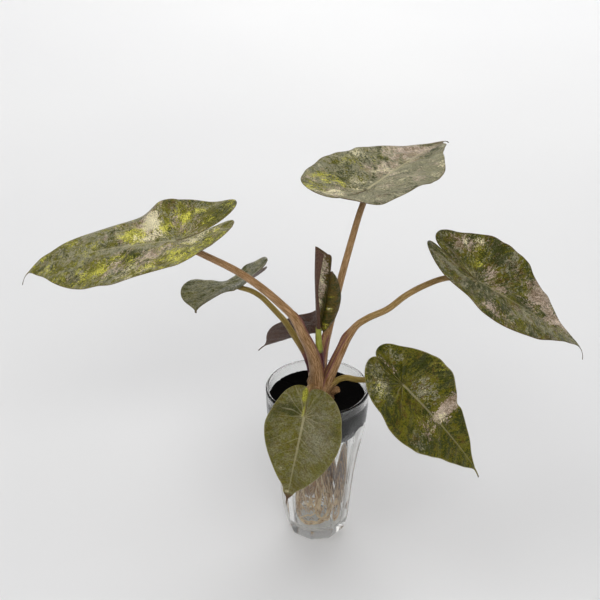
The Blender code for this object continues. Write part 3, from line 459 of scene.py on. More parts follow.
STALKS = {
    "left": Stalk(
        route=((0.000, -0.004, 0.128), (-0.001, -0.005, 0.156), (-0.005, -0.006, 0.176),
               (-0.012, -0.007, 0.193), (-0.019, -0.008, 0.209), (-0.029, -0.009, 0.221),
               (-0.043, -0.011, 0.236), (-0.060, -0.012, 0.250), (-0.084, -0.014, 0.265)),
        sheath=0.093, sheath_wide=0.0080, sheath_deep=0.0052, low=0.0033, high=0.0023,
        faces=(0.6, 0.3, 0.7),
    ),
    "top": Stalk(
        route=((0.002, 0.001, 0.128), (0.0025, 0.003, 0.155), (0.005, 0.005, 0.175),
               (0.0095, 0.0065, 0.194), (0.0163, 0.010, 0.226), (0.0210, 0.012, 0.246),
               (0.0255, 0.014, 0.264), (0.0317, 0.017, 0.287)),
        sheath=0.066, sheath_wide=0.0055, sheath_deep=0.0046, low=0.0031, high=0.0023,
        faces=(-0.3, -0.9, 0.2),
    ),
    "right": Stalk(
        route=((0.005, -0.005, 0.128), (0.007, -0.006, 0.146), (0.0125, -0.006, 0.162),
               (0.018, -0.005, 0.176), (0.024, -0.002, 0.188), (0.031, 0.002, 0.196),
               (0.038, 0.004, 0.200),
               (0.054, 0.005, 0.208), (0.067, 0.006, 0.219), (0.082, 0.007, 0.228),
               (0.098, 0.006, 0.235)),
        sheath=0.074, sheath_wide=0.0062, sheath_deep=0.0045, low=0.0027, high=0.0021,
        faces=(-0.7, -0.2, 0.7),
    ),
    "low_right": Stalk(
        route=((0.004, -0.004, 0.126), (0.006, -0.005, 0.138), (0.013, -0.008, 0.149),
               (0.021, -0.011, 0.155), (0.030, -0.018, 0.158), (0.042, -0.026, 0.162),
               (0.053, -0.036, 0.164)),
        sheath=0.030, sheath_wide=0.0068, sheath_deep=0.0050, low=0.0024, high=0.0020,
        faces=(-0.3, 0.2, 1.0),
    ),
    "front": Stalk(
        route=((0.000, -0.004, 0.126), (-0.001, -0.008, 0.141), (-0.005, -0.016, 0.150),
               (-0.008, -0.030, 0.155), (-0.010, -0.046, 0.154)),
        sheath=0.026, sheath_wide=0.0055, sheath_deep=0.0040, low=0.0026, high=0.0021,
        faces=(0.0, 0.3, 1.0),
    ),
    "back_left": Stalk(
        route=((0.000, 0.003, 0.128), (-0.003, 0.005, 0.150), (-0.009, 0.008, 0.1655),
               (-0.0152, 0.010, 0.175), (-0.0203, 0.015, 0.181), (-0.026, 0.022, 0.187),
               (-0.032, 0.028, 0.191), (-0.039, 0.034, 0.196), (-0.0445, 0.0385, 0.1995),
               (-0.052, 0.0425, 0.2025)),
        sheath=0.050, sheath_wide=0.0060, sheath_deep=0.0042, low=0.0026, high=0.0020,
        faces=(0.5, -0.5, 0.8),
    ),
    "back": Stalk(
        route=((0.003, 0.004, 0.126), (0.004, 0.008, 0.144), (0.004, 0.018, 0.153),
               (0.003, 0.034, 0.155), (0.001, 0.048, 0.1525)),
        sheath=0.030, sheath_wide=0.0055, sheath_deep=0.0040, low=0.0024, high=0.0020,
        faces=(0.0, -0.4, 1.0),
    ),
}

STALK_RING_STEP = 0.0016
STALK_SIDES = 28
# The stalk materials' distance round a stalk, to a radian.
SKIN_ROUND = 3.0
# A sheath narrows by this power of its length and melts into the stalk over its last part.
SHEATH_NARROWS = 1.6
SHEATH_MELT = 0.012
# It has two wings at either side of a groove, and an ear on each wing, as shares of the radius.
SHEATH_GROOVE = 0.22
SHEATH_WING = 0.26
SHEATH_EAR = 0.9
EAR_WIDE = 0.5 * SHEATH_MELT
WING_AT = 0.62
WING_WIDE = 0.15
GROOVE_WIDE = 0.7 * WING_AT
BLUSH_WIDE = 0.42
# Stalks that are green above and purple below, how much, and over which shares of the sheath that changes.
STALK_GREENS = {"low_right": 0.9, "back_left": 0.8, "front": 0.4, "top": 0.35, "right": 0.5}
GREEN_FROM = (0.5, 1.2)
STALK_PURPLES = {"back_left": 1.8, "back": 1.4}
PURPLE_FADES = (0.6, 1.0)

# The new leaf, still unrolling: its foot, its stalk, and outlines seen from the front as (height over
# the foot, distance to the right of the foot).
NEW_FOOT = (0.0004, -0.003, 0.196)
NEW_STALK_ROUTE = ((0.003, 0.000, 0.140), (0.002, -0.001, 0.165), (0.0008, -0.002, 0.180))
NEW_STALK_ROWS = 60
NEW_STALK_FLUTES = 5
FLUTE_DEEP = 0.03
# Its foot is thicker by this much, and its skin is as long as this for the material.
NEW_STALK_SWELL = 0.001
NEW_STALK_SKIN = 60.0
# The foot of the new stalk is purple, up to these shares of its length.
NEW_FOOT_PURPLE = 1.8
NEW_FOOT_FADES = (0.56, 0.70)
NEW_STALK_LOW = 0.0030
NEW_STALK_HIGH = 0.0021
NEW_ROWS = 70
NEW_COLUMN_STEPS = 10
NEW_COLUMN_WIDE = 0.004
NEW_LENGTH = 0.066
NEW_VEIN_GAP = 0.009
NEW_VEIN_LEAN = 0.6
NEW_THIN = 0.8
NEW_TIP = 0.0708
# Its depth grows from this share to the whole and back, over this stretch of half a wave: start and length.
NEW_CLOSED = 0.45
NEW_OPENING = (0.08, 0.8)
# The rolled edge has this many columns, which end this share of the way down from the tip.
ROLLED_COLUMNS = 2
ROLLED_SHARE = 0.6
NEW_OUTSIDE = ((0.000, -0.0012), (0.017, -0.0018), (0.026, -0.0021), (0.045, -0.0027), (0.0708, -0.0024))
NEW_ROLLED_EDGE = ((0.000, 0.0016), (0.017, 0.0009), (0.035, -0.0004), (0.045, 0.0006), (0.0708, 0.0045))
NEW_MIDRIB = ((0.000, 0.0020), (0.007, 0.0027), (0.020, 0.0050), (0.042, 0.0076), (0.061, 0.0091))
NEW_LOBE_EDGE = (
    (-0.0040, 0.0045),
    (0.0000, 0.0080),
    (0.0040, 0.0108),
    (0.0120, 0.0143),
    (0.0200, 0.0164),
    (0.0280, 0.0171),
    (0.0360, 0.0160),
    (0.0440, 0.0136),
    (0.0500, 0.0100),
)
# Its columns: share of the way between two outlines, and depth. Those on the right have a foot as well.
NEW_LEFT_COLUMNS = (
    (1.0, -0.0030), (0.4, -0.0031), (0.0, -0.0010), (0.1, 0.0016), (0.4, 0.0026), (0.75, 0.0030),
)
NEW_RIGHT_COLUMNS = (
    (0.00, 0.0030, 0.0000),
    (0.05, 0.0006, -0.0008),
    (0.30, -0.0020, -0.0025),
    (0.70, -0.0020, -0.0038),
    (1.00, 0.0006, -0.0036),
)

# ---- The rootstock and roots -------------------------------------------------------------------------------

ROOTSTOCK = (
    (*CROWN_AT, CROWN_BOTTOM - GAP),
    (0.004, 0.001, 0.095),
    (0.009, 0.000, 0.078),
    (0.014, -0.002, 0.062),
    (0.016, -0.003, 0.050),
)
ROOTSTOCK_GIRTH = ((0.0, 0.0100), (0.25, 0.0085), (0.50, 0.0058), (0.75, 0.0072), (1.0, 0.0050))
STOCK_ROUND = 0.88
STOCK_ROWS = 60
STOCK_SIDES = 36
STOCK_SLIM = 0.97
ROOT_SIDE = np.array([0.3, 0.9, 0.2])
KNOB_HIGH = 0.07
# The rootstock's age at its top, and how much older its end is.
STOCK_AGES = (0.75, 0.35)
ROOT_SEED = 7
FINE_ROOT_SEED = 19
# Roots keep this clear of the glass, and the hanging ones end up to this much higher.
ROOT_CLEAR = 0.0035
ROOT_ENDS = 0.012

# Hanging roots set out at one of the first steps of the rootstock's route, and later ones this many further
# on. They spread round it, then turn on at each bend, and reach this share of the way to the wall.
STOCK_STEPS = 50
ROOT_STARTS = (8, 38)
ROOT_SPREAD = np.radians(222.5)
ROOT_JITTER = 0.3
ROOT_BENDS = 8
BEND_TURN = (-0.1, 0.35)
ROOT_REACH = (0.55, 0.4)

# Lying roots set out between these steps, come down to the floor over this share of their bends, and turn
# more at each bend after it than before.
LYING_STARTS = (10, 48)
LYING_LOW = (0.6, 1.6)
LYING_BENDS = 12
LYING_FROM = 0.6
LYING_TURNS = (0.08, 0.42)
LYING_REACH = 0.9

# Hugging roots leave and rejoin the rootstock's route between these steps, turn round it by up to this many
# radians at such a distance from it, and hang on below it, so far to the side and down.
HUGGING_STEPS = 40
HUGGING_FIRST = (2, 22)
HUGGING_LAST = (30, 40)
HUGGING_TURN = 1.8
HUGGING_OUT = (0.0050, 0.0105)
BELOW_ASIDE = 0.006
BELOW_DOWN = (0.006, 0.034)


@dataclass
class RootKind:
    """One kind of root: how many, its route, its mesh, its radius, taper and waviness, and its age.

    Ages go from 0, white, to 1, brown. One without an age at its start is as old all along as at its end.
    """

    count: int
    route: str
    rings: int
    sides: int
    radius: tuple
    taper: tuple
    end_age: tuple
    start_age: float | None = None
    wander: float = 0.0


# The first kind are the roots of the solid too.
ROOT_KINDS = (
    RootKind(count=13, route="hanging", rings=80, sides=10, radius=(0.0011, 0.0017), taper=(1.15, 0.6),
             end_age=(-0.1, 0.45), start_age=0.65, wander=0.00010),
    RootKind(count=60, route="hanging", rings=70, sides=6, radius=(0.0003, 0.0008), taper=(1.1, 0.6),
             end_age=(-0.2, 0.4), wander=0.000176),
    RootKind(count=34, route="hugging", rings=60, sides=8, radius=(0.0004, 0.0011), taper=(1.1, 0.7),
             end_age=(0.2, 1.0)),
    RootKind(count=16, route="lying", rings=90, sides=8, radius=(0.0005, 0.0010), taper=(1.1, 0.6),
             end_age=(-0.1, 0.4), start_age=0.5),
)
ROOT_COUNT = ROOT_KINDS[0].count


# ---- Curves and meshes -------------------------------------------------------------------------------------

def through(points, x):
    """The value at x of a smooth curve through the points (x, value)."""
    known, values = np.array(points, float).T
    slope = np.gradient(values, known)
    x = np.clip(x, known[0], known[-1])
    i = np.clip(np.searchsorted(known, x) - 1, 0, len(known) - 2)
    step = known[i + 1] - known[i]
    t = (x - known[i]) / step
    ahead = (1 + 2 * t) * (1 - t) ** 2 * values[i] + t * (1 - t) ** 2 * step * slope[i]
    behind = t * t * (3 - 2 * t) * values[i + 1] + t * t * (t - 1) * step * slope[i + 1]
    return ahead + behind


def smooth_route(points, count):
    """Evenly spaced points on a smooth curve through the route's points."""
    points = np.array(points, float)
    along = np.concatenate([[0.0], np.cumsum(np.linalg.norm(np.diff(points, axis=0), axis=1))])
    where = np.linspace(0.0, along[-1], count)
    return np.stack([through(np.stack([along, points[:, k]], 1), where) for k in range(3)], 1)


def smoothstep(low, high, value):
    """0 below low, 1 above high and a smooth rise between them."""
    t = np.clip((value - low) / (high - low), 0.0, 1.0)
    return t * t * (3 - 2 * t)


def bell(away, wide):
    """1 in the middle of a bell curve, falling off with the distance away from it."""
    return np.exp(-((away / wide) ** 2))


def add_mesh(name, points, faces, material, attributes=None):
    """A smooth-shaded object, with its named per-point numbers or vectors for the material to read."""
    mesh = bpy.data.meshes.new(name)
    mesh.from_pydata(np.asarray(points, float).tolist(), [], faces)
    for key, values in (attributes or {}).items():
        values = np.asarray(values, np.float32)
        is_vector = values.ndim == 2
        layer = mesh.attributes.new(key, "FLOAT_VECTOR" if is_vector else "FLOAT", "POINT")
        layer.data.foreach_set("vector" if is_vector else "value", values.ravel())
    mesh.validate()
    mesh.shade_smooth()
    mesh.materials.append(material)
    item = bpy.data.objects.new(name, mesh)
    bpy.context.scene.collection.objects.link(item)
    return item


def grid_faces(rows, columns, closed=False, first=0):
    """Quads of a grid of points, row by row; a closed grid joins its last column to its first."""
    faces = []
    for r in range(rows - 1):
        for c in range(columns if closed else columns - 1):
            n = (c + 1) % columns
            low, high = first + r * columns, first + (r + 1) * columns
            faces.append((low + c, low + n, high + n, high + c))
    return faces


def tube_faces(rows, columns):
    """Faces of a closed tube of rings, with one face over each end."""
    ends = [tuple(range(columns))[::-1], tuple(range((rows - 1) * columns, rows * columns))]
    return grid_faces(rows, columns, closed=True) + ends


def round_turns(count):
    """Angles of the points of a ring."""
    return 2 * np.pi * np.arange(count) / count


def normals_of(points, faces):
    """Unit normals at the points of a sheet of triangles or quads."""
    normals = np.zeros_like(points)
    for count in (3, 4):
        some = np.array([face for face in faces if len(face) == count])
        if len(some):
            corners = points[some]
            flat = np.cross(corners[:, 2] - corners[:, 0], corners[:, -1] - corners[:, 1])
            for k in range(count):
                np.add.at(normals, some[:, k], flat)
    return normals / np.maximum(np.linalg.norm(normals, axis=1), 1e-12)[:, None]


def close_sheet(faces, count):
    """Faces of a closed sheet: the upper ones, the same ones below, and the edge between them."""
    closed = list(faces) + [tuple(count + v for v in face[::-1]) for face in faces]
    edges = {(face[k], face[(k + 1) % len(face)]) for face in faces for k in range(len(face))}
    closed.extend((b, a, count + a, count + b) for a, b in sorted(edges) if (b, a) not in edges)
    return closed


# ---- Materials ---------------------------------------------------------------------------------------------

class Paint:
    """A short way to write a material's nodes: each method adds a node and gives its output."""

    def __init__(self, name, roughness=0.5, **settings):
        self.material = bpy.data.materials.new(name)
        self.material.use_nodes = True
        self.tree = self.material.node_tree
        self.shader = self.tree.nodes["Principled BSDF"]
        self.shader.inputs["Roughness"].default_value = roughness
        for key, value in settings.items():
            self.shader.inputs[key.replace("_", " ")].default_value = value

    def node(self, kind, inputs=(), **settings):
        node = self.tree.nodes.new(kind)
        for key, value in settings.items():
            setattr(node, key, value)
        for key, value in dict(inputs).items():
            self.put(node.inputs[key], value)
        return node

    def put(self, socket, value):
        """Link an output to the socket, or set the socket to a plain value or a colour."""
        if isinstance(value, bpy.types.NodeSocket):
            self.tree.links.new(value, socket)
        elif isinstance(value, tuple) and socket.type == "RGBA":
            socket.default_value = (*value, 1.0)
        else:
            socket.default_value = value

    def attribute(self, name, kind="Fac"):
        return self.node("ShaderNodeAttribute", attribute_name=name).outputs[kind]

    def parts(self, name):
        return self.node("ShaderNodeSeparateXYZ", {0: self.attribute(name, "Vector")}).outputs

    def maths(self, operation, a, b=0.0, c=0.0):
        return self.node("ShaderNodeMath", {0: a, 1: b, 2: c}, operation=operation).outputs[0]

    def step(self, value, low, high, to_low=0.0, to_high=1.0):
        """A smooth ramp from to_low, where the value is low, to to_high, where it is high."""
        inputs = {"Value": value, "From Min": low, "From Max": high, "To Min": to_low, "To Max": to_high}
        return self.node("ShaderNodeMapRange", inputs, interpolation_type="SMOOTHSTEP").outputs[0]

    def scaled(self, vector, factors):
        return self.node("ShaderNodeVectorMath", {0: vector, 1: factors}, operation="MULTIPLY").outputs[0]

    def moved(self, vector, by):
        return self.node("ShaderNodeVectorMath", {0: vector, 1: by}, operation="ADD").outputs[0]

    def noise(self, vector, scale, detail=3.0, rough=0.55):
        inputs = {"Vector": vector, "Scale": scale, "Detail": detail, "Roughness": rough}
        return self.node("ShaderNodeTexNoise", inputs).outputs["Fac"]

    def cells(self, vector, scale, feature="F1"):
        node = self.node("ShaderNodeTexVoronoi", {"Vector": vector, "Scale": scale}, feature=feature)
        return node.outputs["Distance"]

    def mix(self, factor, a, b, blend="MIX"):
        node = self.node("ShaderNodeMix", data_type="RGBA", blend_type=blend)
        for socket, value in zip((node.inputs[0], node.inputs[6], node.inputs[7]), (factor, a, b)):
            self.put(socket, value)
        return node.outputs[2]

    def set(self, name, value):
        """Give the shader's input of that name a value."""
        self.put(self.shader.inputs[name], value)

    def bump(self, height, distance, strength=1.0, after=None):
        inputs = {"Height": height, "Distance": distance, "Strength": strength}
        if after is not None:
            inputs["Normal"] = after
        return self.node("ShaderNodeBump", inputs).outputs[0]


# Side veins show best near the stalk's end: from there they fade over this distance to this share.
VEIN_FADE = 0.026
VEIN_FAR = 0.15
# Towards the tip the midrib's line narrows by this share and fades by this one.
RIB_TAPER = 0.65
RIB_FADE = 0.8
# Over this share of the length the tip turns brown.
TIP_BLEND = 0.10
# Streaks along the side veins: their distances to one vein and to one millimetre along it.
STREAKS_ACROSS = 9.0
STREAKS_ALONG = 0.22

# Blade colours, linear.
OLIVE = (0.145, 0.134, 0.006)
# Grey-green that also paints the blades' sheen.
GREY_GREEN_AND_SHEEN = (0.280, 0.266, 0.165)
DARK_GREEN = (0.030, 0.040, 0.003)
BROWN_GREEN = (0.105, 0.060, 0.010)
LIME_DEEP = (0.170, 0.165, 0.003)
LIME_LIGHT = (0.760, 0.720, 0.100)
PINK_DEEP = (0.250, 0.170, 0.110)
PINK_LIGHT = (0.720, 0.580, 0.470)
CREAM = (0.860, 0.780, 0.500)
VEIN_PALE = (0.500, 0.450, 0.270)
RIM_BROWN = (0.130, 0.080, 0.030)
RIM_PALE = (0.380, 0.350, 0.130)
TIP_BROWN = (0.105, 0.055, 0.024)
UNDER_BROWN = (0.150, 0.080, 0.046)
UNDER_PURPLE = (0.070, 0.034, 0.026)

# Tints in the order in which they cover the olive: which grains of its own each has, how many of them to a
# millimetre, and the most of it that shows.
TINT_GRAINS = {
    "grey_and_sheen": (1, 0.45, 1.00),
    "brown": (2, 0.45, 0.85),
    "dark": (3, 0.65, 0.88),
    "pink": (5, 0.60, 0.85),
    "lime": (8, 0.85, 0.92),
    "cream": (6, 0.85, 0.92),
}
# Pink and lime each vary from a deep to a light tone, by grains of their own.
PINK_GRAINS = (4, 0.70)
LIME_GRAINS = (7, 1.10)
LIME_LIT = (0.15, 1.0)
# Grains drawn out along the veins and broad zones join the fine grains by these shares, and the sum is spread
# from this range to 0 to 1.
DRAWN_SHARE = 0.45
ZONE_SHARE = 0.50
GRAIN_RANGE = (0.850, 1.100)
DRAWN_SCALE = 0.55
ZONE_SCALE = 0.10
# Fine and broad unevenness, in spots to a millimetre, and the range over which their noise spreads.
FINE_SCALE = 1.1
FINE_RANGE = (0.36, 0.64)
BROAD_SCALE = 0.06
BROAD_RANGE = (0.40, 0.62)
SHADE_RANGE = (0.66, 1.34)
# Millimetres from a side vein, the midrib and the margin at which their lines start and are full.
VEIN_LINE = (0.65, 0.10)
UNDER_VEIN_LINE = (0.7, 0.15)
RIB_LINE = (1.5, 0.6)
RIM_LINE = (0.8, 0.25)
BLADE_ROUGHNESS = (0.26, 0.42)
BLADE_GLOSS = 0.32
# A fine net of cells: how many to a millimetre and how wide their lines are, as a share of a cell. Then the
# heights in metres of the net's relief and of the swell between the side veins.
NET_SCALE = 0.8
NET_LINE = 0.12
NET_HIGH = 0.0003
SWELL_HIGH = 0.0007


def blade_material(name):
    """A variegated blade: freckled tints with painted sheen among them, soft side veins, a thin rim and a
    purple underside.
    """
    paint = Paint(name, Specular_IOR_Level=BLADE_GLOSS)
    place = paint.attribute("leaf_place", "Vector")
    streak = paint.attribute("leaf_streak", "Vector")
    phase, gap, from_midrib = paint.parts("leaf_vein")
    rim, tip, pale_rim = paint.parts("leaf_edge")
    freckled, veined, ribbed = paint.parts("leaf_habit")
    wanted = dict(zip(TINTS, (*paint.parts("leaf_bright"), *paint.parts("leaf_dull_and_sheen"))))
    under = paint.attribute("leaf_under")
    broad = paint.noise(place, BROAD_SCALE, detail=3.0)
    fine = paint.noise(place, FINE_SCALE, detail=4.0, rough=0.7)
    evened = paint.maths("MULTIPLY_ADD", freckled, -0.5, 0.5)
    crisp = paint.maths("DIVIDE", 1.0, paint.maths("MULTIPLY_ADD", freckled, -0.75, 1.0))

    def freckles(number, scale):
        """Grains of a tint's own, from 0 to 1 and all as common, a little drawn out along the veins."""
        moved = paint.moved(place, (31.0 * number, 17.0 * number, 5.0))
        grains = paint.noise(moved, scale, detail=5.0, rough=0.75)
        zones = paint.noise(moved, ZONE_SCALE, detail=2.0)
        moved = paint.moved(streak, (7.0 * number, 0.0, 3.0))
        drawn = paint.noise(moved, DRAWN_SCALE, detail=3.0, rough=0.6)
        grains = paint.maths("MULTIPLY_ADD", drawn, DRAWN_SHARE, grains)
        grains = paint.maths("MULTIPLY_ADD", zones, ZONE_SHARE, grains)
        return paint.maths("MULTIPLY_ADD", paint.step(grains, *GRAIN_RANGE), freckled, evened)

    def cover(tint):
        """How much of a tint shows where it is wanted over so much of the blade, broken up by its grains."""
        number, scale, most = TINT_GRAINS[tint]
        over = paint.maths("SUBTRACT", wanted[tint], freckles(number, scale))
        return paint.step(paint.maths("MULTIPLY_ADD", over, crisp, evened), 0.0, 1.0, 0.0, most)

    tones = {
        "grey_and_sheen": GREY_GREEN_AND_SHEEN,
        "brown": BROWN_GREEN,
        "dark": DARK_GREEN,
        "pink": paint.mix(freckles(*PINK_GRAINS), PINK_DEEP, PINK_LIGHT),
        "lime": paint.mix(paint.step(freckles(*LIME_GRAINS), *LIME_LIT), LIME_DEEP, LIME_LIGHT),
        "cream": CREAM,
    }
    colour = OLIVE
    for tint in TINT_GRAINS:
        colour = paint.mix(cover(tint), colour, tones[tint])
    level = paint.step(fine, *FINE_RANGE, *SHADE_RANGE)
    shade = paint.node("ShaderNodeCombineColor", {0: level, 1: level, 2: level}).outputs[0]
    colour = paint.mix(1.0, colour, shade, "MULTIPLY")

    nearest = paint.maths("ABSOLUTE", paint.maths("SUBTRACT", phase, paint.maths("ROUND", phase)))
    from_vein = paint.maths("MULTIPLY", nearest, gap)
    shows = paint.maths("MULTIPLY", veined, paint.step(broad, *BROAD_RANGE, 0.3, 1.3))
    vein = paint.maths("MULTIPLY", paint.step(from_vein, *VEIN_LINE), shows)
    rib = paint.maths("MULTIPLY", paint.step(from_midrib, *RIB_LINE), ribbed)
    colour = paint.mix(vein, colour, VEIN_PALE)
    colour = paint.mix(rib, colour, VEIN_PALE)
    rim_colour = paint.mix(pale_rim, RIM_BROWN, RIM_PALE)
    colour = paint.mix(paint.step(rim, *RIM_LINE, 0.0, 0.7), colour, rim_colour)
    colour = paint.mix(paint.step(tip, 0.3, 1.0, 0.0, 0.95), colour, TIP_BROWN)

    below = paint.mix(paint.step(fine, *FINE_RANGE), UNDER_PURPLE, UNDER_BROWN)
    below = paint.mix(paint.step(from_vein, *UNDER_VEIN_LINE, 0.0, 0.4), below, UNDER_BROWN)
    paint.set("Base Color", paint.mix(under, colour, below))
    paint.set("Roughness", paint.step(fine, *FINE_RANGE, *BLADE_ROUGHNESS))

    net = paint.cells(place, NET_SCALE, "DISTANCE_TO_EDGE")
    relief = paint.maths("ADD", paint.step(net, 0.0, NET_LINE, 0.0, 0.5), paint.maths("MULTIPLY", fine, 0.8))
    swell = paint.bump(paint.step(nearest, 0.0, 0.5), SWELL_HIGH, paint.maths("MULTIPLY", freckled, freckled))
    paint.set("Normal", paint.bump(relief, NET_HIGH, 0.8, swell))
    return paint.material


# Stalk colours, linear.
STALK_BROWN = (0.220, 0.110, 0.031)
STALK_PALE = (0.560, 0.345, 0.180)
STALK_PURPLE = (0.220, 0.085, 0.085)
STALK_WINE = (0.100, 0.024, 0.030)
STALK_GREEN = (0.190, 0.135, 0.016)
STALK_GREEN_PALE = (0.460, 0.350, 0.100)
LIME_STALK = (0.300, 0.330, 0.035)
LIME_STALK_PALE = (0.520, 0.540, 0.110)
LIME_STALK_EDGE = (0.200, 0.220, 0.040)

# Stripes and flecks of a stalk: how the distances round and along it are stretched, how many spots there
# are, and over which range of the noise each tone comes in.
STRIPE_STRETCH = (1.0, 0.030, 0.0)
STRIPE_SCALE = 3.4
STRIPE_RANGE = (0.43, 0.57)
MOSS_RANGE = (0.42, 0.58)
FLECK_STRETCH = (1.0, 0.30, 0.0)
FLECK_SCALE = 2.2
FLECK_RANGE = (0.54, 0.70)
FLECK_DARK = 0.40
GREEN_RANGE = (0.75, 1.25)
BLUSH_RANGE = (0.40, 0.90)
WINE_RANGE = (1.10, 1.60)


def stalk_material(name, base, pale, purple):
    """A stalk's skin: fine pale stripes along it, darker flecks, and purple along the wings of its sheath."""
    paint = Paint(name, Specular_IOR_Level=0.3)
    wing = paint.parts("stalk_skin")[2]
    place = paint.attribute("stalk_skin", "Vector")
    green = paint.attribute("stalk_green")
    stripes = paint.noise(paint.scaled(place, STRIPE_STRETCH), STRIPE_SCALE, detail=4.0, rough=0.65)
    flecks = paint.noise(paint.scaled(place, FLECK_STRETCH), FLECK_SCALE, detail=4.0, rough=0.7)
    colour = paint.mix(paint.step(stripes, *STRIPE_RANGE), base, pale)
    mossy = paint.mix(paint.step(stripes, *MOSS_RANGE), STALK_GREEN, STALK_GREEN_PALE)
    colour = paint.mix(paint.step(paint.maths("ADD", green, flecks), *GREEN_RANGE, 0.0, 0.9), colour, mossy)
    dark = tuple(FLECK_DARK * part for part in base)
    colour = paint.mix(paint.step(flecks, *FLECK_RANGE, 0.0, 0.55), colour, dark)
    blushed = paint.maths("ADD", wing, paint.maths("MULTIPLY_ADD", flecks, 1.4, -0.7))
    colour = paint.mix(paint.step(blushed, *BLUSH_RANGE, 0.0, 0.85), colour, purple)
    colour = paint.mix(paint.step(blushed, *WINE_RANGE), colour, STALK_WINE)
    paint.set("Base Color", colour)
    paint.set("Roughness", paint.step(flecks, 0.3, 0.7, 0.34, 0.52))
    paint.set("Normal", paint.bump(stripes, 0.0004, 0.5))
    return paint.material


GLASS_TINT = (0.940, 0.945, 0.935)
GLASS_SHADE = (0.85, 0.85, 0.84)
# The lip is a little rough, from here up to here.
GLASS_LIP = (GLASS_HEIGHT - 0.005, GLASS_HEIGHT - 0.001)
LIP_ROUGHNESS = 0.14
# Light that has bounced this often inside the glass goes straight on, as the render stops following it.
GLASS_DEEPEST = 1.5


def glass_material():
    """Clear glass that lets lamplight through to the roots, with faint smudges in its gloss."""
    paint = Paint("tumbler_glass", IOR=1.5, Transmission_Weight=1.0)
    paint.set("Base Color", GLASS_TINT)
    place = paint.node("ShaderNodeTexCoord").outputs["Object"]
    smudge = paint.noise(place, 60.0, detail=4.0, rough=0.7)
    height = paint.node("ShaderNodeSeparateXYZ", {0: place}).outputs["Z"]
    lip = paint.step(height, *GLASS_LIP, 0.0, LIP_ROUGHNESS)
    paint.set("Roughness", paint.maths("ADD", paint.step(smudge, 0.55, 0.85, 0.0, 0.06), lip))
    through_light = paint.node("ShaderNodeBsdfTransparent", {"Color": GLASS_SHADE}).outputs[0]
    path = paint.node("ShaderNodeLightPath").outputs
    deep = paint.maths("GREATER_THAN", path["Glossy Depth"], GLASS_DEEPEST)
    clear = paint.maths("MAXIMUM", path["Is Shadow Ray"], deep)
    mixed = paint.node("ShaderNodeMixShader", {0: clear, 1: paint.shader.outputs[0], 2: through_light})
    paint.put(paint.tree.nodes["Material Output"].inputs["Surface"], mixed.outputs[0])
    return paint.material


FOAM_BLACK = (0.0010, 0.0010, 0.0010)
FOAM_DUST = (0.0055, 0.0050, 0.0048)
# Painted shade in the small pits.
FOAM_PIT_SHADE = (0.0004, 0.0004, 0.0004)
# Cells to a metre.
SMALL_PITS = 900.0
LARGE_PITS = 380.0
DUST_GRAINS = 1500.0


def foam_material():
    """Black closed-cell foam: small pits of many sizes, the small ones darkened with painted shade, and a
    dull, dusty grain.
    """
    paint = Paint("collar_foam", Specular_IOR_Level=0.08)
    place = paint.node("ShaderNodeTexCoord").outputs["Object"]
    pits = paint.cells(place, SMALL_PITS)
    large = paint.cells(place, LARGE_PITS)
    grain = paint.noise(place, DUST_GRAINS, detail=2.0)
    colour = paint.mix(paint.step(grain, 0.35, 0.75), FOAM_BLACK, FOAM_DUST)
    # The middles of the small pits get painted shade.
    paint.set("Base Color", paint.mix(paint.step(pits, 0.25, 0.05, 0.0, 0.8), colour, FOAM_PIT_SHADE))
    paint.set("Roughness", paint.step(grain, 0.3, 0.7, 0.82, 1.0))
    height = paint.maths("ADD", paint.step(pits, 0.0, 0.4), paint.step(large, 0.0, 0.35, 0.0, 0.6))
    paint.set("Normal", paint.bump(height, 0.0006, 0.9))
    return paint.material


ROOT_YOUNG = (0.90, 0.73, 0.47)
ROOT_TAN = (0.43, 0.24, 0.085)
ROOT_OLD = (0.100, 0.050, 0.020)
ROOT_RING = (0.20, 0.12, 0.06)
# Blotches and rings to a metre; the rings lie across the roots, most of which hang down.
ROOT_BLOTCHES = 160.0
ROOT_RINGS = 1400.0
RING_STRETCH = (0.3, 0.3, 1.0)


def root_material():
    """Root skin: white young roots, tan old ones, brown rootstock, with fine rings and blotches."""
    paint = Paint("root_fibre")
    old = paint.attribute("root_age")
    place = paint.node("ShaderNodeTexCoord").outputs["Object"]
    blotch = paint.noise(place, ROOT_BLOTCHES, detail=4.0, rough=0.65)
    rings = paint.noise(paint.scaled(place, RING_STRETCH), ROOT_RINGS, detail=3.0)
    age = paint.maths("MULTIPLY_ADD", paint.maths("SUBTRACT", blotch, 0.5), 0.9, old)
    colour = paint.mix(paint.step(age, 0.05, 0.5), ROOT_YOUNG, ROOT_TAN)
    colour = paint.mix(paint.step(age, 0.55, 1.0), colour, ROOT_OLD)
    colour = paint.mix(paint.step(rings, 0.5, 0.75, 0.0, 0.4), colour, ROOT_RING)
    paint.set("Base Color", colour)
    paint.set("Roughness", paint.step(blotch, 0.3, 0.7, 0.5, 0.75))
    paint.set("Normal", paint.bump(rings, 0.0003, 0.5))
    return paint.material


# ---- The blades --------------------------------------------------------------------------------------------

def axes_of(yaw, pitch, roll):
    """Unit vectors ahead, to the left and up for arrays of angles in radians."""
    ahead = np.stack([np.cos(pitch) * np.cos(yaw), np.cos(pitch) * np.sin(yaw), np.sin(pitch)], -1)
    left = np.stack([-np.sin(yaw), np.cos(yaw), 0 * yaw], -1)
    up = np.cross(ahead, left)
    cos, sin = np.cos(roll)[..., None], np.sin(roll)[..., None]
    return ahead, cos * left + sin * up, cos * up - sin * left


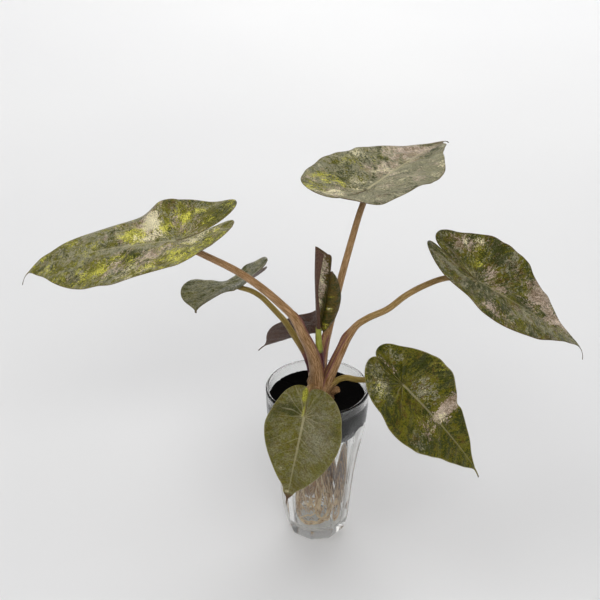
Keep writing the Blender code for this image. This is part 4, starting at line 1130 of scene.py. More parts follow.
def midrib(leaf, along):
    """Place, left and up at each distance along the midrib; below 0 it runs back between the lobes."""
    end = 1 + leaf.drip / leaf.length
    blade, drip = np.linspace(0, 1, MIDRIB_STEPS + 1), np.linspace(1, end, DRIP_STEPS + 1)
    x = np.concatenate([[-leaf.lobe, 0.0], blade[1:], drip[1:]])
    ahead = np.clip(x, 0, 1)
    late = np.clip((x - DRIP_FROM) / (end - DRIP_FROM), 0, 1)
    pitch = np.radians(leaf.pitch - leaf.droop * ahead**1.5 - leaf.drip_droop * late)
    yaw = np.radians(leaf.yaw + leaf.sweep * ahead + leaf.drip_sweep * late)
    roll = np.radians(leaf.roll + leaf.twist * ahead)
    heading, left, up = axes_of(yaw, pitch, roll)
    steps = (heading[1:] + heading[:-1]) / 2 * np.diff(x)[:, None] * leaf.length
    place = np.concatenate([np.zeros((1, 3)), np.cumsum(steps, 0)])
    place += np.array(leaf.at) - place[1]
    return [
        np.stack([np.interp(along / leaf.length, x, values[:, k]) for k in range(3)], -1)
        for values in (place, left, up)
    ]


def margins(leaf, along, side):
    """Distances from the midrib line to one half's inner and outer margin: side is +1 left, -1 right."""
    half = leaf.of("half", side)
    lobe = leaf.lobe * leaf.length
    back = np.clip(-along / lobe, 0, 1)
    spread = leaf.lobe_spread
    ahead = np.maximum(through(BLADE_OUTLINE, along / leaf.length), THREAD_HALF / half)
    at_stalk = BLADE_OUTLINE[0][1]
    outer = half * np.where(along >= 0, ahead, spread + (at_stalk - spread) * np.sqrt(1 - back**2))
    inner = half * spread * (1 - np.sqrt(1 - back**leaf.sinus))
    inner = inner + SINUS_HALF * np.clip(4 * back, 0, 1) * (1 - back**4)
    station = (along + lobe) / (leaf.length + lobe)
    for centre, width, bulge in leaf.of("nicks", side):
        outer = outer + bulge * bell(station - centre, width) * np.sqrt(1 - back**4)
    return inner, outer


def blade_points(leaf, along, out, side):
    """Points of the blade's upper face at distances along it and out from its midrib, out as a share."""
    half = leaf.of("half", side)
    fold, curl, rise = (np.radians(leaf.of(bend, side)) for bend in ("fold", "curl", "lobe_rise"))
    across = half * (np.sin(fold) - np.sin(fold - curl * out)) / curl
    high = half * (np.cos(fold - curl * out) - np.cos(fold)) / curl
    lobe = leaf.lobe * leaf.length
    high = high + lobe * np.tan(rise) * np.clip(-along / lobe, 0, 1) ** 1.5
    station = (along + lobe) / (leaf.length + lobe)
    for centre, width, height in leaf.of("lifts", side):
        high = high + height * out**2 * bell(station - centre, width)
    from_midrib = half * out
    high = high + np.tan(fold) * (np.hypot(from_midrib, VALLEY_ROUND) - from_midrib)
    ripple = 2 * np.pi * leaf.waves * station + leaf.phase + (0.0 if side > 0 else WAVE_LAG)
    high = high + leaf.wave * half * out**3 * np.sin(ripple)
    place, left, up = midrib(leaf, along)
    return place + side * across[..., None] * left + high[..., None] * up


def side_veins(leaf, across, along, half):
    """Which side vein a point is at, the distance between veins there, and how far out along it the point is.

    The first number is whole on a vein. Ahead of the stalk the veins leave the midrib one after another,
    and behind it they fan out into the lobe.
    """
    spacing = leaf.length / VEINS_AHEAD
    lean = VEIN_LEAN * across + VEIN_BOW * across**2 / half
    origin = along - lean
    reach = np.hypot(across, along)
    fan = (np.arctan2(across, along) - np.arctan2(across, lean)) / VEIN_FAN
    is_ahead = origin >= 0
    phase = np.where(is_ahead, origin / spacing, -fan)
    gap = np.where(is_ahead, spacing * np.cos(np.arctan(VEIN_LEAN)), reach * VEIN_FAN)
    return phase, gap, np.where(is_ahead, np.hypot(across, lean), reach)


def blade_bumps(across, along, side, seed):
    """The uneven swell of a blade: crossed waves of three sizes."""
    height = np.zeros_like(across)
    for size, wave, turn, start in BUMPS:
        x = across * np.cos(turn + seed) * side + along * np.sin(turn + seed)
        y = along * np.cos(turn + seed) - across * np.sin(turn + seed) * side
        crossed = np.cos(2 * np.pi * y / (BUMP_ASPECT * wave) + 2 * start)
        height += size * np.sin(2 * np.pi * x / wave + start + seed) * crossed
    return height


def blade_grid(leaf, side):
    """The places along and out, and the distances to the margin, of one half's grid of points."""
    half = leaf.of("half", side)
    back = -leaf.lobe * leaf.length * np.sin(np.linspace(np.pi / 2, 0.0, LOBE_ROWS + 1)[:-1])
    front = leaf.length * np.linspace(0.0, 1.0, FRONT_ROWS + 1)
    drip = leaf.length + leaf.drip * np.linspace(0.0, 1.0, THREAD_ROWS + 1)[1:]
    rows = np.concatenate([back, front, drip])
    inner, outer = margins(leaf, rows, side)
    share = np.linspace(0.0, 1.0, BLADE_COLUMNS + 1) ** COLUMN_CROWD
    across = inner[:, None] + (outer - inner)[:, None] * share
    along = np.broadcast_to(rows[:, None], across.shape)
    to_margin = (outer - inner)[:, None] * (1 - share)
    to_inner = np.where(rows < 0, 1.0, 1e3)[:, None] * (outer - inner)[:, None] * share
    return half, along, across, np.minimum(to_margin, to_inner)


def blade_tints(name, across, along):
    """How much of each tint there is at each point: what the leaf has all over, then its patches in turn."""
    tints = {tint: np.full_like(across, amount) for tint, amount in zip(TINTS, TINTS_ALL_OVER[name])}
    for tint, over, ahead, reach_across, reach_along, amount in PATCHES[name]:
        apart = np.hypot((across / MM - over) / reach_across, (along / MM - ahead) / reach_along)
        inside = np.exp(-(apart**3))
        tints[tint] = tints[tint] * (1 - inside) + amount * inside
    return tints


def blade_numbers(name, across, along, phase, gap, reach, rim, seed):
    """The numbers that the blade material reads, at each point; all lengths come in metres."""
    freckled, veined, ribbed, pale, brown_from = HABITS[name]
    tints = blade_tints(name, across, along)
    share = along / along.max()
    ahead = np.clip(share, 0, 1)
    rib = np.where(along >= 0, ribbed * (1 - RIB_FADE * ahead), 0.0)
    veined = veined * (VEIN_FAR + (1 - VEIN_FAR) * np.exp(-(across**2 + along**2) / VEIN_FADE**2))
    tip = smoothstep(brown_from, brown_from + TIP_BLEND, share)
    full = np.ones_like(across)
    from_rib = np.abs(across) / (1 - RIB_TAPER * ahead)
    return {
        "leaf_place": (across / MM, along / MM, seed * full),
        "leaf_streak": (phase * STREAKS_ACROSS, reach / MM * STREAKS_ALONG, seed * full),
        "leaf_vein": (phase, gap / MM * full, from_rib / MM),
        "leaf_edge": (rim / MM, tip, pale * full),
        "leaf_habit": (freckled * full, veined, rib),
        "leaf_bright": tuple(tints[tint] for tint in TINTS[:3]),
        "leaf_dull_and_sheen": tuple(tints[tint] for tint in TINTS[3:]),
    }


def blade_half(name, leaf, side, number):
    """One half's grid of points, with how far each is lifted, how thick it is and what the material reads."""
    half, along, across, rim = blade_grid(leaf, side)
    places = blade_points(leaf, along, across / half, side)
    phase, gap, reach = side_veins(leaf, across, along, half)
    swing = np.sin(2 * np.pi * phase * WANDER_PER_VEIN + WANDER_PER_METRE * across + number)
    phase = phase + VEIN_WANDER * swing * smoothstep(0, WANDER_FROM, across)
    from_vein = np.abs(phase - np.round(phase)) * gap
    to_tip = np.clip(1 - along / leaf.length, 0, 1)
    midrib_fade, rim_fade = VEINS_FADE_IN
    fade = smoothstep(0.0, midrib_fade, across) * smoothstep(0.0, rim_fade, rim) * to_tip
    on_vein = bell(from_vein, VEIN_GROOVE_WIDE) * fade
    quilt = QUILT_HIGH * (1 - bell(from_vein, QUILT_WIDE)) * fade
    on_midrib = bell(across, MIDRIB_WIDE) * (along >= 0) * to_tip
    midrib_fade, rim_fade = BUMPS_FADE_IN
    bumps = blade_bumps(across, along, side, number)
    bumps = bumps * smoothstep(0.0, rim_fade, rim) * smoothstep(0.0, midrib_fade, across)
    groove = VEIN_GROOVE * on_vein
    lift = quilt - groove + bumps * np.clip(half / BUMP_HALF, BUMP_LEAST, 1.0)
    thin = MARGIN_THICK + (BLADE_THICK - MARGIN_THICK) * smoothstep(0.0, MARGIN_WIDE, rim)
    deep = thin + VEIN_RIDGE * on_vein + quilt - groove + MIDRIB_DEEP * on_midrib
    read = blade_numbers(name, side * across, along, phase, gap, reach, rim, GRAINS_APART * number)
    values = [lift, deep, *(part for parts in read.values() for part in parts)]
    return places, np.stack(values, -1), list(read)


def add_blade(name, leaf, material, number):
    """One open blade. Its halves share the points of the midrib, and each lobe's first row is one point."""
    points, numbers, faces = [], [], []
    index = {}
    for side in (1, -1):
        places, values, keys = blade_half(name, leaf, side, number)
        rows, columns = places.shape[:2]
        for r in range(rows):
            for c in range(columns):
                if side < 0 and c == 0 and r >= LOBE_ROWS:
                    index[side, r, c] = index[1, r, c]
                elif r == 0 and c > 0:
                    index[side, r, c] = index[side, r, 0]
                else:
                    index[side, r, c] = len(points)
                    points.append(places[r, c])
                    numbers.append(values[r, c])
        for r in range(rows - 1):
            for c in range(columns - 1):
                face = [index[side, r + i, c + j] for i, j in ((0, 0), (0, 1), (1, 1), (1, 0))]
                face = [v for k, v in enumerate(face) if v != face[k - 1]]
                faces.append(tuple(face if side < 0 else face[::-1]))
    points, numbers = np.array(points), np.array(numbers)
    normals = normals_of(points, faces)
    upper = points + normals * numbers[:, :1]
    lower = upper - normals * numbers[:, 1:2]
    both = np.concatenate([numbers, numbers])
    attributes = {key: both[:, 2 + 3 * k:5 + 3 * k] for k, key in enumerate(keys)}
    attributes["leaf_under"] = np.repeat([0.0, 1.0], len(points))
    sheet = close_sheet(faces, len(points))
    piece = add_mesh("blade_" + name, np.concatenate([upper, lower]), sheet, material, attributes)
    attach(piece, "root")
    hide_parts("leaf_" + name)


# ---- The stalks --------------------------------------------------------------------------------------------

def headings(route):
    """Unit directions along a route."""
    ahead = np.gradient(np.array(route, float), axis=0)
    return ahead / np.linalg.norm(ahead, axis=1)[:, None]


def leaf_stalk_route(stalk, leaf):
    """The stalk's route, ending inside the thick foot of the midrib."""
    place, _, up = (values[0] for values in midrib(leaf, np.array([0.0])))
    return [*stalk.route, place - up * MIDRIB_DEEP]


def tube_points(route, side, radii):
    """Rings of points round a route. radii holds (ring, turn) distances; turn 0 looks towards `side`."""
    ahead = headings(route)
    turns = round_turns(radii.shape[1])
    front = side - ahead * (ahead @ side)[:, None]
    front /= np.linalg.norm(front, axis=1)[:, None]
    across = np.cross(ahead, front)
    ring = np.cos(turns)[None, :, None] * front[:, None] + np.sin(turns)[None, :, None] * across[:, None]
    return route[:, None] + radii[..., None] * ring


def stalk_skin(turns, along, purple, shape):
    """The numbers that the stalk material reads: places round and along the stalk, and how purple it is."""
    parts = [np.broadcast_to(part, shape) for part in (turns * SKIN_ROUND, along, purple)]
    return np.stack(parts, -1).reshape(-1, 3)


def add_stalk(name, stalk, material):
    """One stalk from the crown to its blade, with the two wings of its sheath along its lower part."""
    route = np.array(leaf_stalk_route(stalk, LEAVES[name]))
    length = np.linalg.norm(np.diff(route, axis=0), axis=1).sum()
    fine = smooth_route(route, int(length / STALK_RING_STEP))
    along = np.concatenate([[0.0], np.cumsum(np.linalg.norm(np.diff(fine, axis=0), axis=1))])[:, None]
    share = np.clip(along / stalk.sheath, 0.0, 1.0)
    narrowing = 1 - share**SHEATH_NARROWS
    rest = np.clip((along - stalk.sheath) / (along[-1] - stalk.sheath), 0.0, 1.0)
    girth = stalk.low + (stalk.high - stalk.low) * rest
    wide = girth + (stalk.sheath_wide - stalk.low) * narrowing
    deep = girth + (stalk.sheath_deep - stalk.low) * narrowing
    turns = round_turns(STALK_SIDES)
    radii = wide * deep / np.hypot(deep * np.sin(turns), wide * np.cos(turns))
    off_front = np.abs((turns + np.pi) % (2 * np.pi) - np.pi)
    sheathed = 1 - smoothstep(stalk.sheath - SHEATH_MELT, stalk.sheath, along)
    wing = bell(off_front - WING_AT, WING_WIDE) * sheathed
    ear = 1 + SHEATH_EAR * bell(along - stalk.sheath + SHEATH_MELT, EAR_WIDE)
    groove = bell(off_front, GROOVE_WIDE) * sheathed
    radii = radii * (1 + SHEATH_WING * wing * ear - SHEATH_GROOVE * groove)
    points = tube_points(fine, np.array(stalk.faces), radii)
    blush = bell(off_front - WING_AT, BLUSH_WIDE) * sheathed
    foot = STALK_PURPLES.get(name, 0.0) * (1 - smoothstep(*PURPLE_FADES, share))
    green = STALK_GREENS.get(name, 0.0) * smoothstep(*GREEN_FROM, along / stalk.sheath)
    attributes = {
        "stalk_skin": stalk_skin(turns, along / MM, np.maximum(blush, foot), radii.shape),
        "stalk_green": np.broadcast_to(green, radii.shape).reshape(-1),
    }
    piece = add_mesh("stalk_" + name, points.reshape(-1, 3), tube_faces(*radii.shape), material, attributes)
    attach(piece, "root")
    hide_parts("petiole_" + name)


def add_trunk(material):
    """The short stem under the sheaths, ringed by old leaf scars."""
    levels = np.linspace(CROWN_SHAPE[0][0], CROWN_SHAPE[-1][0], CROWN_ROWS)
    route = np.array([(*CROWN_AT, level) for level in levels])
    levels = levels[:, None]
    turns = round_turns(CROWN_SIDES)
    scars = SCAR_HIGH * np.maximum(0.0, np.sin(2 * np.pi * (levels - CROWN_BOTTOM) / SCAR_GAP)) ** 6
    lumps = LUMP_HIGH * np.sin(3 * turns + 1.0) * np.sin(LUMPS_UP * levels)
    radii = through(CROWN_SHAPE, levels) - SKIN_DEEP + scars + lumps
    points = tube_points(route, BACK, radii)
    attributes = {"stalk_skin": stalk_skin(turns, levels / MM, scars * SCAR_BLUSH, radii.shape)}
    trunk = add_mesh("crown_stem", points.reshape(-1, 3), tube_faces(*radii.shape), material, attributes)
    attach(trunk, "root")
    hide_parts("crown")


def add_stub(material):
    """The cut stub beside the stem, with a shallow dip in its cut face."""
    route = np.linspace(STUB_FROM, STUB_TO, STUB_ROWS)
    turns = round_turns(STALK_SIDES)
    radii = STUB_RADIUS * (1 + 0.05 * np.sin(3 * turns)) * np.linspace(*STUB_TAPER, STUB_ROWS)[:, None]
    points = tube_points(route, BACK, radii)
    cut = headings(route)[-1]
    rings = [points[-1] * (1 - inset) + route[-1] * inset - cut * dip for inset, dip in STUB_CUT]
    points = np.concatenate([points.reshape(-1, 3), *rings])
    shape = (STUB_ROWS + len(STUB_CUT), STALK_SIDES)
    along = STUB_SKIN_STEP * np.arange(shape[0])[:, None]
    attributes = {"stalk_skin": stalk_skin(turns, along, 0.0, shape)}
    stub = add_mesh("crown_stub", points, tube_faces(*shape), material, attributes)
    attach(stub, "root")
    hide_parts("crown")


def add_new_stalk(material):
    """The new leaf's lime-green stalk, fluted, with a purple foot."""
    route = smooth_route([*NEW_STALK_ROUTE, NEW_FOOT], NEW_STALK_ROWS)
    along = np.linspace(0.0, 1.0, NEW_STALK_ROWS)[:, None]
    girth = NEW_STALK_LOW + NEW_STALK_SWELL + (NEW_STALK_HIGH - NEW_STALK_LOW - NEW_STALK_SWELL) * along
    turns = round_turns(STALK_SIDES)
    radii = girth * (1 + FLUTE_DEEP * np.cos(NEW_STALK_FLUTES * turns))
    points = tube_points(route, BACK, radii)
    foot = NEW_FOOT_PURPLE * (1 - smoothstep(*NEW_FOOT_FADES, along))
    attributes = {"stalk_skin": stalk_skin(turns, along * NEW_STALK_SKIN, foot, radii.shape)}
    piece = add_mesh("stalk_new", points.reshape(-1, 3), tube_faces(*radii.shape), material, attributes)
    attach(piece, "root")
    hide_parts("petiole_new")


# ---- The new leaf ------------------------------------------------------------------------------------------

def new_leaf_columns():
    """The new leaf's columns from left to right: two outlines, a share between them, depth, foot and top."""
    columns = []
    for number, (share, depth) in enumerate(NEW_LEFT_COLUMNS):
        is_rolled = number < ROLLED_COLUMNS
        goal = NEW_ROLLED_EDGE if is_rolled else NEW_MIDRIB
        top = NEW_TIP + (NEW_MIDRIB[-1][0] - NEW_TIP) * (ROLLED_SHARE if is_rolled else 1.0) * share
        columns.append((NEW_OUTSIDE, goal, share, depth, 0.0, top))
    for share, depth, foot in NEW_RIGHT_COLUMNS:
        top = NEW_MIDRIB[-1][0] if share == 0.0 else NEW_LOBE_EDGE[-1][0]
        columns.append((NEW_MIDRIB, NEW_LOBE_EDGE, share, depth, foot, top))
    return columns


def new_leaf_grid():
    """Points of the new leaf, row by row up from its foot, and at which of its columns each stands."""
    rows = np.linspace(0.0, 1.0, NEW_ROWS + 1)
    start, rise = NEW_OPENING
    closing = NEW_CLOSED + (1 - NEW_CLOSED) * np.sin(np.pi * np.clip(start + rise * rows, 0, 1))
    coarse = []
    for near, far, share, depth, foot, top in new_leaf_columns():
        height = foot + (top - foot) * rows
        x = through(near, height) * (1 - share) + through(far, height) * share
        coarse.append(np.array(NEW_FOOT) + np.stack([x, depth * closing, height], 1))
    known = np.arange(len(coarse))
    where = np.linspace(0.0, len(coarse) - 1, (len(coarse) - 1) * NEW_COLUMN_STEPS + 1)
    points = [
        np.stack([through(np.stack([known, row[:, k]], 1), where) for k in range(3)], 1)
        for row in np.array(coarse).transpose(1, 0, 2)
    ]
    return np.array(points), where


def add_new_leaf(material):
    """The blade that unrolls lengthwise: its left half still rolls to the front, its right half is open."""
    points, where = new_leaf_grid()
    shape = points.shape[:2]
    faces = grid_faces(*shape)
    upper = points.reshape(-1, 3)
    lower = upper - normals_of(upper, faces) * BLADE_THICK * NEW_THIN
    along = np.broadcast_to(np.linspace(0.0, 1.0, shape[0])[:, None] * NEW_LENGTH, shape)
    across = np.broadcast_to((where - len(NEW_LEFT_COLUMNS)) * NEW_COLUMN_WIDE, shape)
    rim = np.broadcast_to(np.minimum(where, where[-1] - where) * NEW_COLUMN_WIDE, shape)
    phase = (along - NEW_VEIN_LEAN * np.abs(across)) / NEW_VEIN_GAP
    read = blade_numbers("new", across, along, phase, NEW_VEIN_GAP, np.abs(across), rim, NEW_GRAINS_AT)
    attributes = {key: np.tile(np.stack(parts, -1).reshape(-1, 3), (2, 1)) for key, parts in read.items()}
    attributes["leaf_under"] = np.repeat([0.0, 1.0], len(upper))
    sheet = close_sheet(faces, len(upper))
    piece = add_mesh("blade_new", np.concatenate([upper, lower]), sheet, material, attributes)
    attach(piece, "root")
    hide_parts("leaf_new")


# ---- The glass and its collar ------------------------------------------------------------------------------

def glass_radius(height):
    """The outer radius over the ridges between the facets."""
    return through(GLASS_OUTSIDE, height)


def faceted_radius(height, turn):
    """Outer radius where the flat facets cut the round wall; each facet ends in an arch at the top."""
    radius = glass_radius(height)
    half = np.pi / FACETS
    from_middle = (turn - FACET_TURN + half) % (2 * half) - half
    rise = np.clip((height - FACET_FULL) / (ARCH_TOP - FACET_FULL), 0.0, 1.0)
    plane = radius * (np.cos(half) + (1.0 - np.cos(half)) * rise) / np.cos(from_middle)
    gap = radius - plane
    return radius - 0.5 * (gap + np.sqrt(gap**2 + FACET_SOFT**2)) + 0.5 * FACET_SOFT


def inside_radius(height):
    """The inner radius, thinner-walled at the facets than at the rim."""
    rim = glass_radius(height) - WALL_RIM
    faceted = glass_radius(height) * np.cos(np.pi / FACETS) - WALL_FACETED
    blend = smoothstep(0.0, 1.0, (height - FACET_FULL) / (ARCH_TOP - FACET_FULL))
    return faceted + (rim - faceted) * blend


def glass_rings(turns):
    """The rings of the glass as (radii, height): over the foot, up outside, over the lip and down inside."""
    rim_out, rim_in = glass_radius(GLASS_HEIGHT), inside_radius(GLASS_HEIGHT)
    lip = (rim_out - rim_in) / 2
    rings = [(glass_radius(0.0) * share, FOOT_HOLLOW * (1 - share**4)) for share in FOOT_SHARES]
    foot_band = np.linspace(0.0, FOOT_BAND, FOOT_BAND_RINGS)
    for level in np.concatenate([foot_band, np.linspace(OUTSIDE_FROM, GLASS_HEIGHT - lip, OUTSIDE_RINGS)]):
        rounding = FOOT_ROUND * np.exp(-level / FOOT_ROUND_HIGH)
        rings.append((faceted_radius(level, turns) - rounding, level))
    for angle in np.linspace(0.0, np.pi, LIP_RINGS + 1)[1:-1]:
        rings.append((rim_out - lip + lip * np.cos(angle), GLASS_HEIGHT - lip + lip * np.sin(angle)))
    for level in np.linspace(GLASS_HEIGHT - lip, FLOOR_TOP + FLOOR_ROUND, INSIDE_RINGS):
        rings.append((inside_radius(level), level))
    flat = inside_radius(FLOOR_TOP) - FLOOR_ROUND
    for angle in np.linspace(0.0, np.pi / 2, CORNER_RINGS + 1)[1:]:
        height = FLOOR_TOP + FLOOR_ROUND - FLOOR_ROUND * np.sin(angle)
        rings.append((flat + FLOOR_ROUND * np.cos(angle), height))
    rings.extend((flat * share, FLOOR_TOP - FLOOR_DIP * (1 - share)) for share in FLOOR_SHARES)
    return rings


def add_glass(material):
    """The glass, its outside and inside in one closed surface."""
    turns = FACET_TURN + round_turns(FACETS * FACET_STEPS)
    circle = np.stack([np.cos(turns), np.sin(turns)], 1)
    points = []
    for radii, level in glass_rings(turns):
        place = np.broadcast_to(radii, turns.shape)[:, None] * circle
        points.append(np.concatenate([place, np.full((len(turns), 1), level)], 1))
    faces = tube_faces(len(points), len(turns))
    piece = add_mesh("tumbler", np.concatenate(points), faces, material)
    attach(piece, "root")
    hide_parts("glass")


def collar_section():
    """Places round a cut through the collar: x from the hole to the wall, z from the underside to the top."""
    section = [(x, 1.0) for x in np.linspace(0.0, 1.0, COLLAR_ACROSS)]
    section += [(1.0, z) for z in np.linspace(1.0, 0.0, COLLAR_DOWN)[1:-1]]
    section += [(x, 0.0) for x in np.linspace(1.0, 0.0, COLLAR_ACROSS)]
    return section + [(0.0, z) for z in np.linspace(0.0, 1.0, COLLAR_DOWN)[1:-1]]


def add_collar(material):
    """A foam disc that fills the glass under its rim, slit once from the hole to its edge."""
    turns = SLIT_AT + SLIT_WIDE / 2 + np.linspace(0.0, 2 * np.pi - SLIT_WIDE, COLLAR_STEPS)
    away = np.stack([np.cos(turns), np.sin(turns)], 1)
    hole = np.array(CROWN_AT) + COLLAR_HOLE * away
    rng = np.random.default_rng(COLLAR_SEED)
    points = []
    for x, z in collar_section():
        height = COLLAR_BOTTOM + (COLLAR_TOP - COLLAR_BOTTOM) * z
        edge = (inside_radius(height) + FOAM_PRESS) * away
        place = hole + (edge - hole) * x
        corner = FOAM_SOFT * (np.exp(-x * FOAM_FADE) + np.exp(-(1 - x) * FOAM_FADE)) * (2 * z - 1)
        rough = rng.normal(0.0, FOAM_ROUGH, len(turns))
        points.append(np.concatenate([place, (height - corner + rough)[:, None]], 1))
    points = np.array(points).transpose(1, 0, 2)
    faces = [face[::-1] for face in tube_faces(*points.shape[:2])]
    piece = add_mesh("foam_collar", points.reshape(-1, 3), faces, material)
    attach(piece, "root")
    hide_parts("collar")


# ---- The roots ---------------------------------------------------------------------------------------------

def hanging_route(rng, number):
    """A root from the rootstock out to the wall, then round and down to the floor of the glass."""
    turn = number * ROOT_SPREAD + rng.uniform(-ROOT_JITTER, ROOT_JITTER)
    first, more = ROOT_STARTS
    start = smooth_route(ROOTSTOCK, STOCK_STEPS)[int(first + more * (number / ROOT_COUNT))]
    low = FLOOR_TOP + ROOT_CLEAR + ROOT_ENDS * rng.random()
    least, swelling = ROOT_REACH
    route = [start]
    for x in np.linspace(0.0, 1.0, ROOT_BENDS + 1)[1:]:
        height = start[2] + (low - start[2]) * x**0.8
        swell = np.sin(np.pi * min(1.0, x * 0.9 + 0.1 * rng.random()))
        reach = (inside_radius(height) - ROOT_CLEAR) * (least + swelling * swell)
        turn += rng.uniform(*BEND_TURN)
        goal = np.array([reach * np.cos(turn), reach * np.sin(turn)])
        mix = min(1.0, 0.25 + x)
        route.append(np.array([*(start[:2] * (1 - mix) + goal * mix), height]))
    return route


def lying_route(rng):
    """A root that comes down near the wall and then lies in a curve over the floor of the glass."""
    turn = rng.uniform(0.0, 2 * np.pi)
    way = rng.choice([-1.0, 1.0])
    start = smooth_route(ROOTSTOCK, STOCK_STEPS)[rng.integers(*LYING_STARTS)]
    low = FLOOR_TOP + ROOT_CLEAR * rng.uniform(*LYING_LOW)
    falling, lying = LYING_TURNS
    route = [start]
    for x in np.linspace(0.12, 1.0, LYING_BENDS):
        height = start[2] + (low - start[2]) * min(1.0, x * 1.5) ** 0.9
        inward = 0.5 * max(0.0, x - LYING_FROM) * rng.uniform(0.5, 1.5)
        reach = (inside_radius(height) - ROOT_CLEAR) * (LYING_REACH - inward)
        turn += way * (falling if x < LYING_FROM else lying)
        mix = min(1.0, 0.3 + 1.6 * x)
        place = start[:2] * (1 - mix) + mix * reach * np.array([np.cos(turn), np.sin(turn)])
        route.append(np.array([*place, height]))
    return route


def hugging_route(rng):
    """A root that runs down along the rootstock, close to it, and on below its end."""
    stock = smooth_route(ROOTSTOCK, HUGGING_STEPS)
    first = rng.integers(*HUGGING_FIRST)
    last = rng.integers(*HUGGING_LAST)
    start = rng.uniform(0.0, 2 * np.pi)
    turns = start + np.linspace(0.0, rng.uniform(-HUGGING_TURN, HUGGING_TURN), last - first)
    out = rng.uniform(*HUGGING_OUT) * (1 + 0.15 * np.sin(turns * 3))
    route = stock[first:last] + np.stack([out * np.cos(turns), out * np.sin(turns), 0 * out], 1)
    aside = [rng.uniform(-BELOW_ASIDE, BELOW_ASIDE) for _ in range(2)]
    below = np.array([*aside, -rng.uniform(*BELOW_DOWN)])
    return [*route[::4], route[-1] + 0.45 * below, route[-1] + below]


def root_tube(route, girth, ages, sides):
    """Points, faces and ages of one root."""
    points = tube_points(route, ROOT_SIDE, np.repeat(girth[:, None], sides, 1))
    return points.reshape(-1, 3), tube_faces(len(route), sides), np.repeat(ages, sides)


def root_of(kind, number, rng, shape):
    """One root of a kind: rng draws its route and radius, and shape draws its waviness and age."""
    if kind.route == "hanging":
        route = hanging_route(rng, number % ROOT_COUNT)
    else:
        route = lying_route(rng) if kind.route == "lying" else hugging_route(rng)
    route = smooth_route(route, kind.rings)
    girth = rng.uniform(*kind.radius) * np.linspace(*kind.taper, kind.rings)
    if kind.wander:
        drift = np.cumsum(shape.normal(0.0, kind.wander, route.shape), 0)
        route = route + drift - np.linspace(0.0, 1.0, kind.rings)[:, None] * drift[-1]
    end = shape.uniform(*kind.end_age)
    start = end if kind.start_age is None else kind.start_age
    return root_tube(route, girth, np.linspace(start, end, kind.rings), kind.sides)


def add_roots(material):
    """The rootstock and all its roots as one piece."""
    x = np.linspace(0.0, 1.0, STOCK_ROWS)
    knobs = 1 + KNOB_HIGH * np.sin(29 * x) * np.sin(17 * x + 1)
    rounded = np.sqrt(1 - np.clip((x - STOCK_ROUND) / (1 - STOCK_ROUND), 0.0, 0.98) ** 2)
    girth = through(ROOTSTOCK_GIRTH, x) * knobs * STOCK_SLIM * rounded
    young, older = STOCK_AGES
    parts = [root_tube(smooth_route(ROOTSTOCK, STOCK_ROWS), girth, young + older * x, STOCK_SIDES)]
    solid = np.random.default_rng(ROOT_SEED)
    shape = np.random.default_rng(FINE_ROOT_SEED)
    for kind in ROOT_KINDS:
        rng = solid if kind is ROOT_KINDS[0] else shape
        parts.extend(root_of(kind, number, rng, shape) for number in range(kind.count))
    faces, count = [], 0
    for points, own_faces, _ in parts:
        faces.extend(tuple(count + v for v in face) for face in own_faces)
        count += len(points)
    points = np.concatenate([part[0] for part in parts])
    ages = np.concatenate([part[2] for part in parts])
    piece = add_mesh("root_mass", points, faces, material, {"root_age": ages})
    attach(piece, "root")
    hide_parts("roots")


# ---- Floor, light and camera -------------------------------------------------------------------------------

FLOOR_CORNERS = ((-6, -4, 0), (6, -4, 0), (6, 8, 0), (-6, 8, 0))
FLOOR_TONES = ((0.80, 0.80, 0.805), (0.83, 0.83, 0.83))
FLOOR_CLOUDS = 1.3

# The world is brightest towards this side; it goes from dim to bright between these leans towards it.
WORLD_BRIGHT_SIDE = (-0.10, 0.80, 0.59)
WORLD_LEANS = (-0.45, 0.80)
WORLD_DIM = 0.09
WORLD_BRIGHT = 0.28

# Lamps: where each is, what it is aimed at, its size, its power in watts and whether surfaces mirror it.
LAMPS = {
    "key_light": ((-1.7, -0.3, 2.4), (0.0, 0.0, 0.15), (2.4, 2.4), 25.0, True),
    "front_light": ((0.4, -2.0, 2.0), (0.0, 0.0, 0.15), (1.8, 1.2), 34.0, False),
    "floor_light": ((0.3, 1.9, 1.6), (0.3, 1.5, 0.0), (2.6, 1.0), 32.0, False),
    "side_light": ((1.6, -0.2, 1.5), (0.25, 0.15, 0.0), (1.0, 1.0), 3.0, False),
}


def add_stage():
    """A pale, faintly clouded floor."""
    paint = Paint("pale_floor", roughness=0.75)
    place = paint.node("ShaderNodeTexCoord").outputs["Object"]
    cloud = paint.noise(place, FLOOR_CLOUDS, detail=2.0)
    paint.set("Base Color", paint.mix(paint.step(cloud, 0.3, 0.7), *FLOOR_TONES))
    floor = add_mesh("floor", FLOOR_CORNERS, [(0, 1, 2, 3)], paint.material)


def add_lamp(name, at, aim, size, power, mirrored):
    """One rectangular lamp, which is not seen through the glass."""
    lamp = bpy.data.lights.new(name, "AREA")
    lamp.shape = "RECTANGLE"
    lamp.size, lamp.size_y = size
    lamp.energy = power
    item = bpy.data.objects.new(name, lamp)
    item.location = at
    item.visible_transmission = False
    item.visible_glossy = mirrored
    x, y, z = np.array(aim, float) - np.array(at, float)
    item.rotation_euler = (np.arctan2(np.hypot(x, y), -z), 0.0, np.arctan2(y, x) - np.pi / 2)
    bpy.context.scene.collection.objects.link(item)


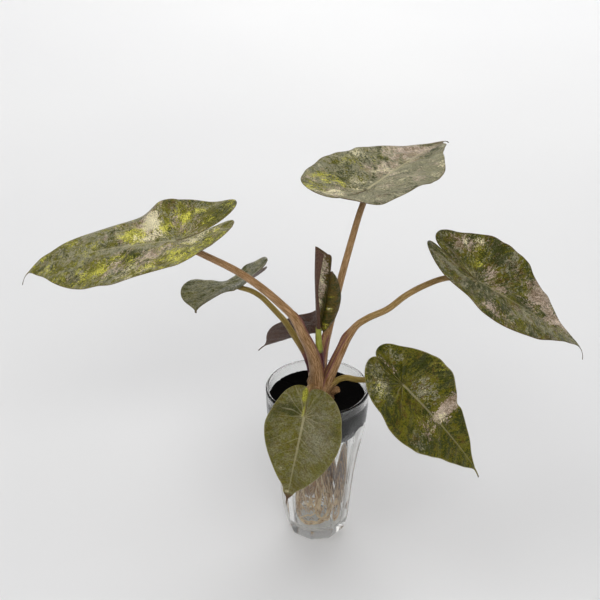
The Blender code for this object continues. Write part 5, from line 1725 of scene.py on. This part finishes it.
def add_world():
    """A white studio: bright overhead and behind the plant, dimmer on the camera's side."""
    world = bpy.data.worlds.new("studio")
    world.use_nodes = True
    tree = world.node_tree
    direction = tree.nodes.new("ShaderNodeTexCoord").outputs["Generated"]
    lean = tree.nodes.new("ShaderNodeVectorMath")
    lean.operation = "DOT_PRODUCT"
    lean.inputs[1].default_value = WORLD_BRIGHT_SIDE
    tree.links.new(direction, lean.inputs[0])
    level = tree.nodes.new("ShaderNodeMapRange")
    level.interpolation_type = "SMOOTHSTEP"
    ends = ("From Min", "From Max", "To Min", "To Max")
    for key, value in zip(ends, (*WORLD_LEANS, WORLD_DIM, WORLD_BRIGHT)):
        level.inputs[key].default_value = value
    tree.links.new(lean.outputs["Value"], level.inputs["Value"])
    background = tree.nodes["Background"]
    background.inputs["Color"].default_value = (1.0, 1.0, 1.0, 1.0)
    tree.links.new(level.outputs[0], background.inputs["Strength"])
    bpy.context.scene.world = world


def add_camera():
    """The camera of the photograph."""
    camera = bpy.data.cameras.new("camera")
    camera.sensor_width = CAMERA_SENSOR
    camera.lens = CAMERA_LENS
    camera.clip_start = CAMERA_NEAREST
    item = bpy.data.objects.new("camera", camera)
    item.location = CAMERA_AT
    item.rotation_euler = (CAMERA_TILT, 0.0, 0.0)
    bpy.context.scene.collection.objects.link(item)
    bpy.context.scene.camera = item


def main():
    add_camera()
    blade = blade_material("variegated_blade")
    skin = stalk_material("petiole_skin", STALK_BROWN, STALK_PALE, STALK_PURPLE)
    lime = stalk_material("lime_petiole", LIME_STALK, LIME_STALK_PALE, LIME_STALK_EDGE)
    for number, (name, leaf) in enumerate(LEAVES.items()):
        add_blade(name, leaf, blade, number)
        add_stalk(name, STALKS[name], skin)
    add_trunk(skin)
    add_stub(skin)
    add_new_stalk(lime)
    add_new_leaf(blade)
    add_glass(glass_material())
    add_collar(foam_material())
    add_roots(root_material())
    add_stage()
    add_world()
    for name, lamp in LAMPS.items():
        add_lamp(name, *lamp)
    bpy.context.scene.view_settings.view_transform = "Standard"


main()
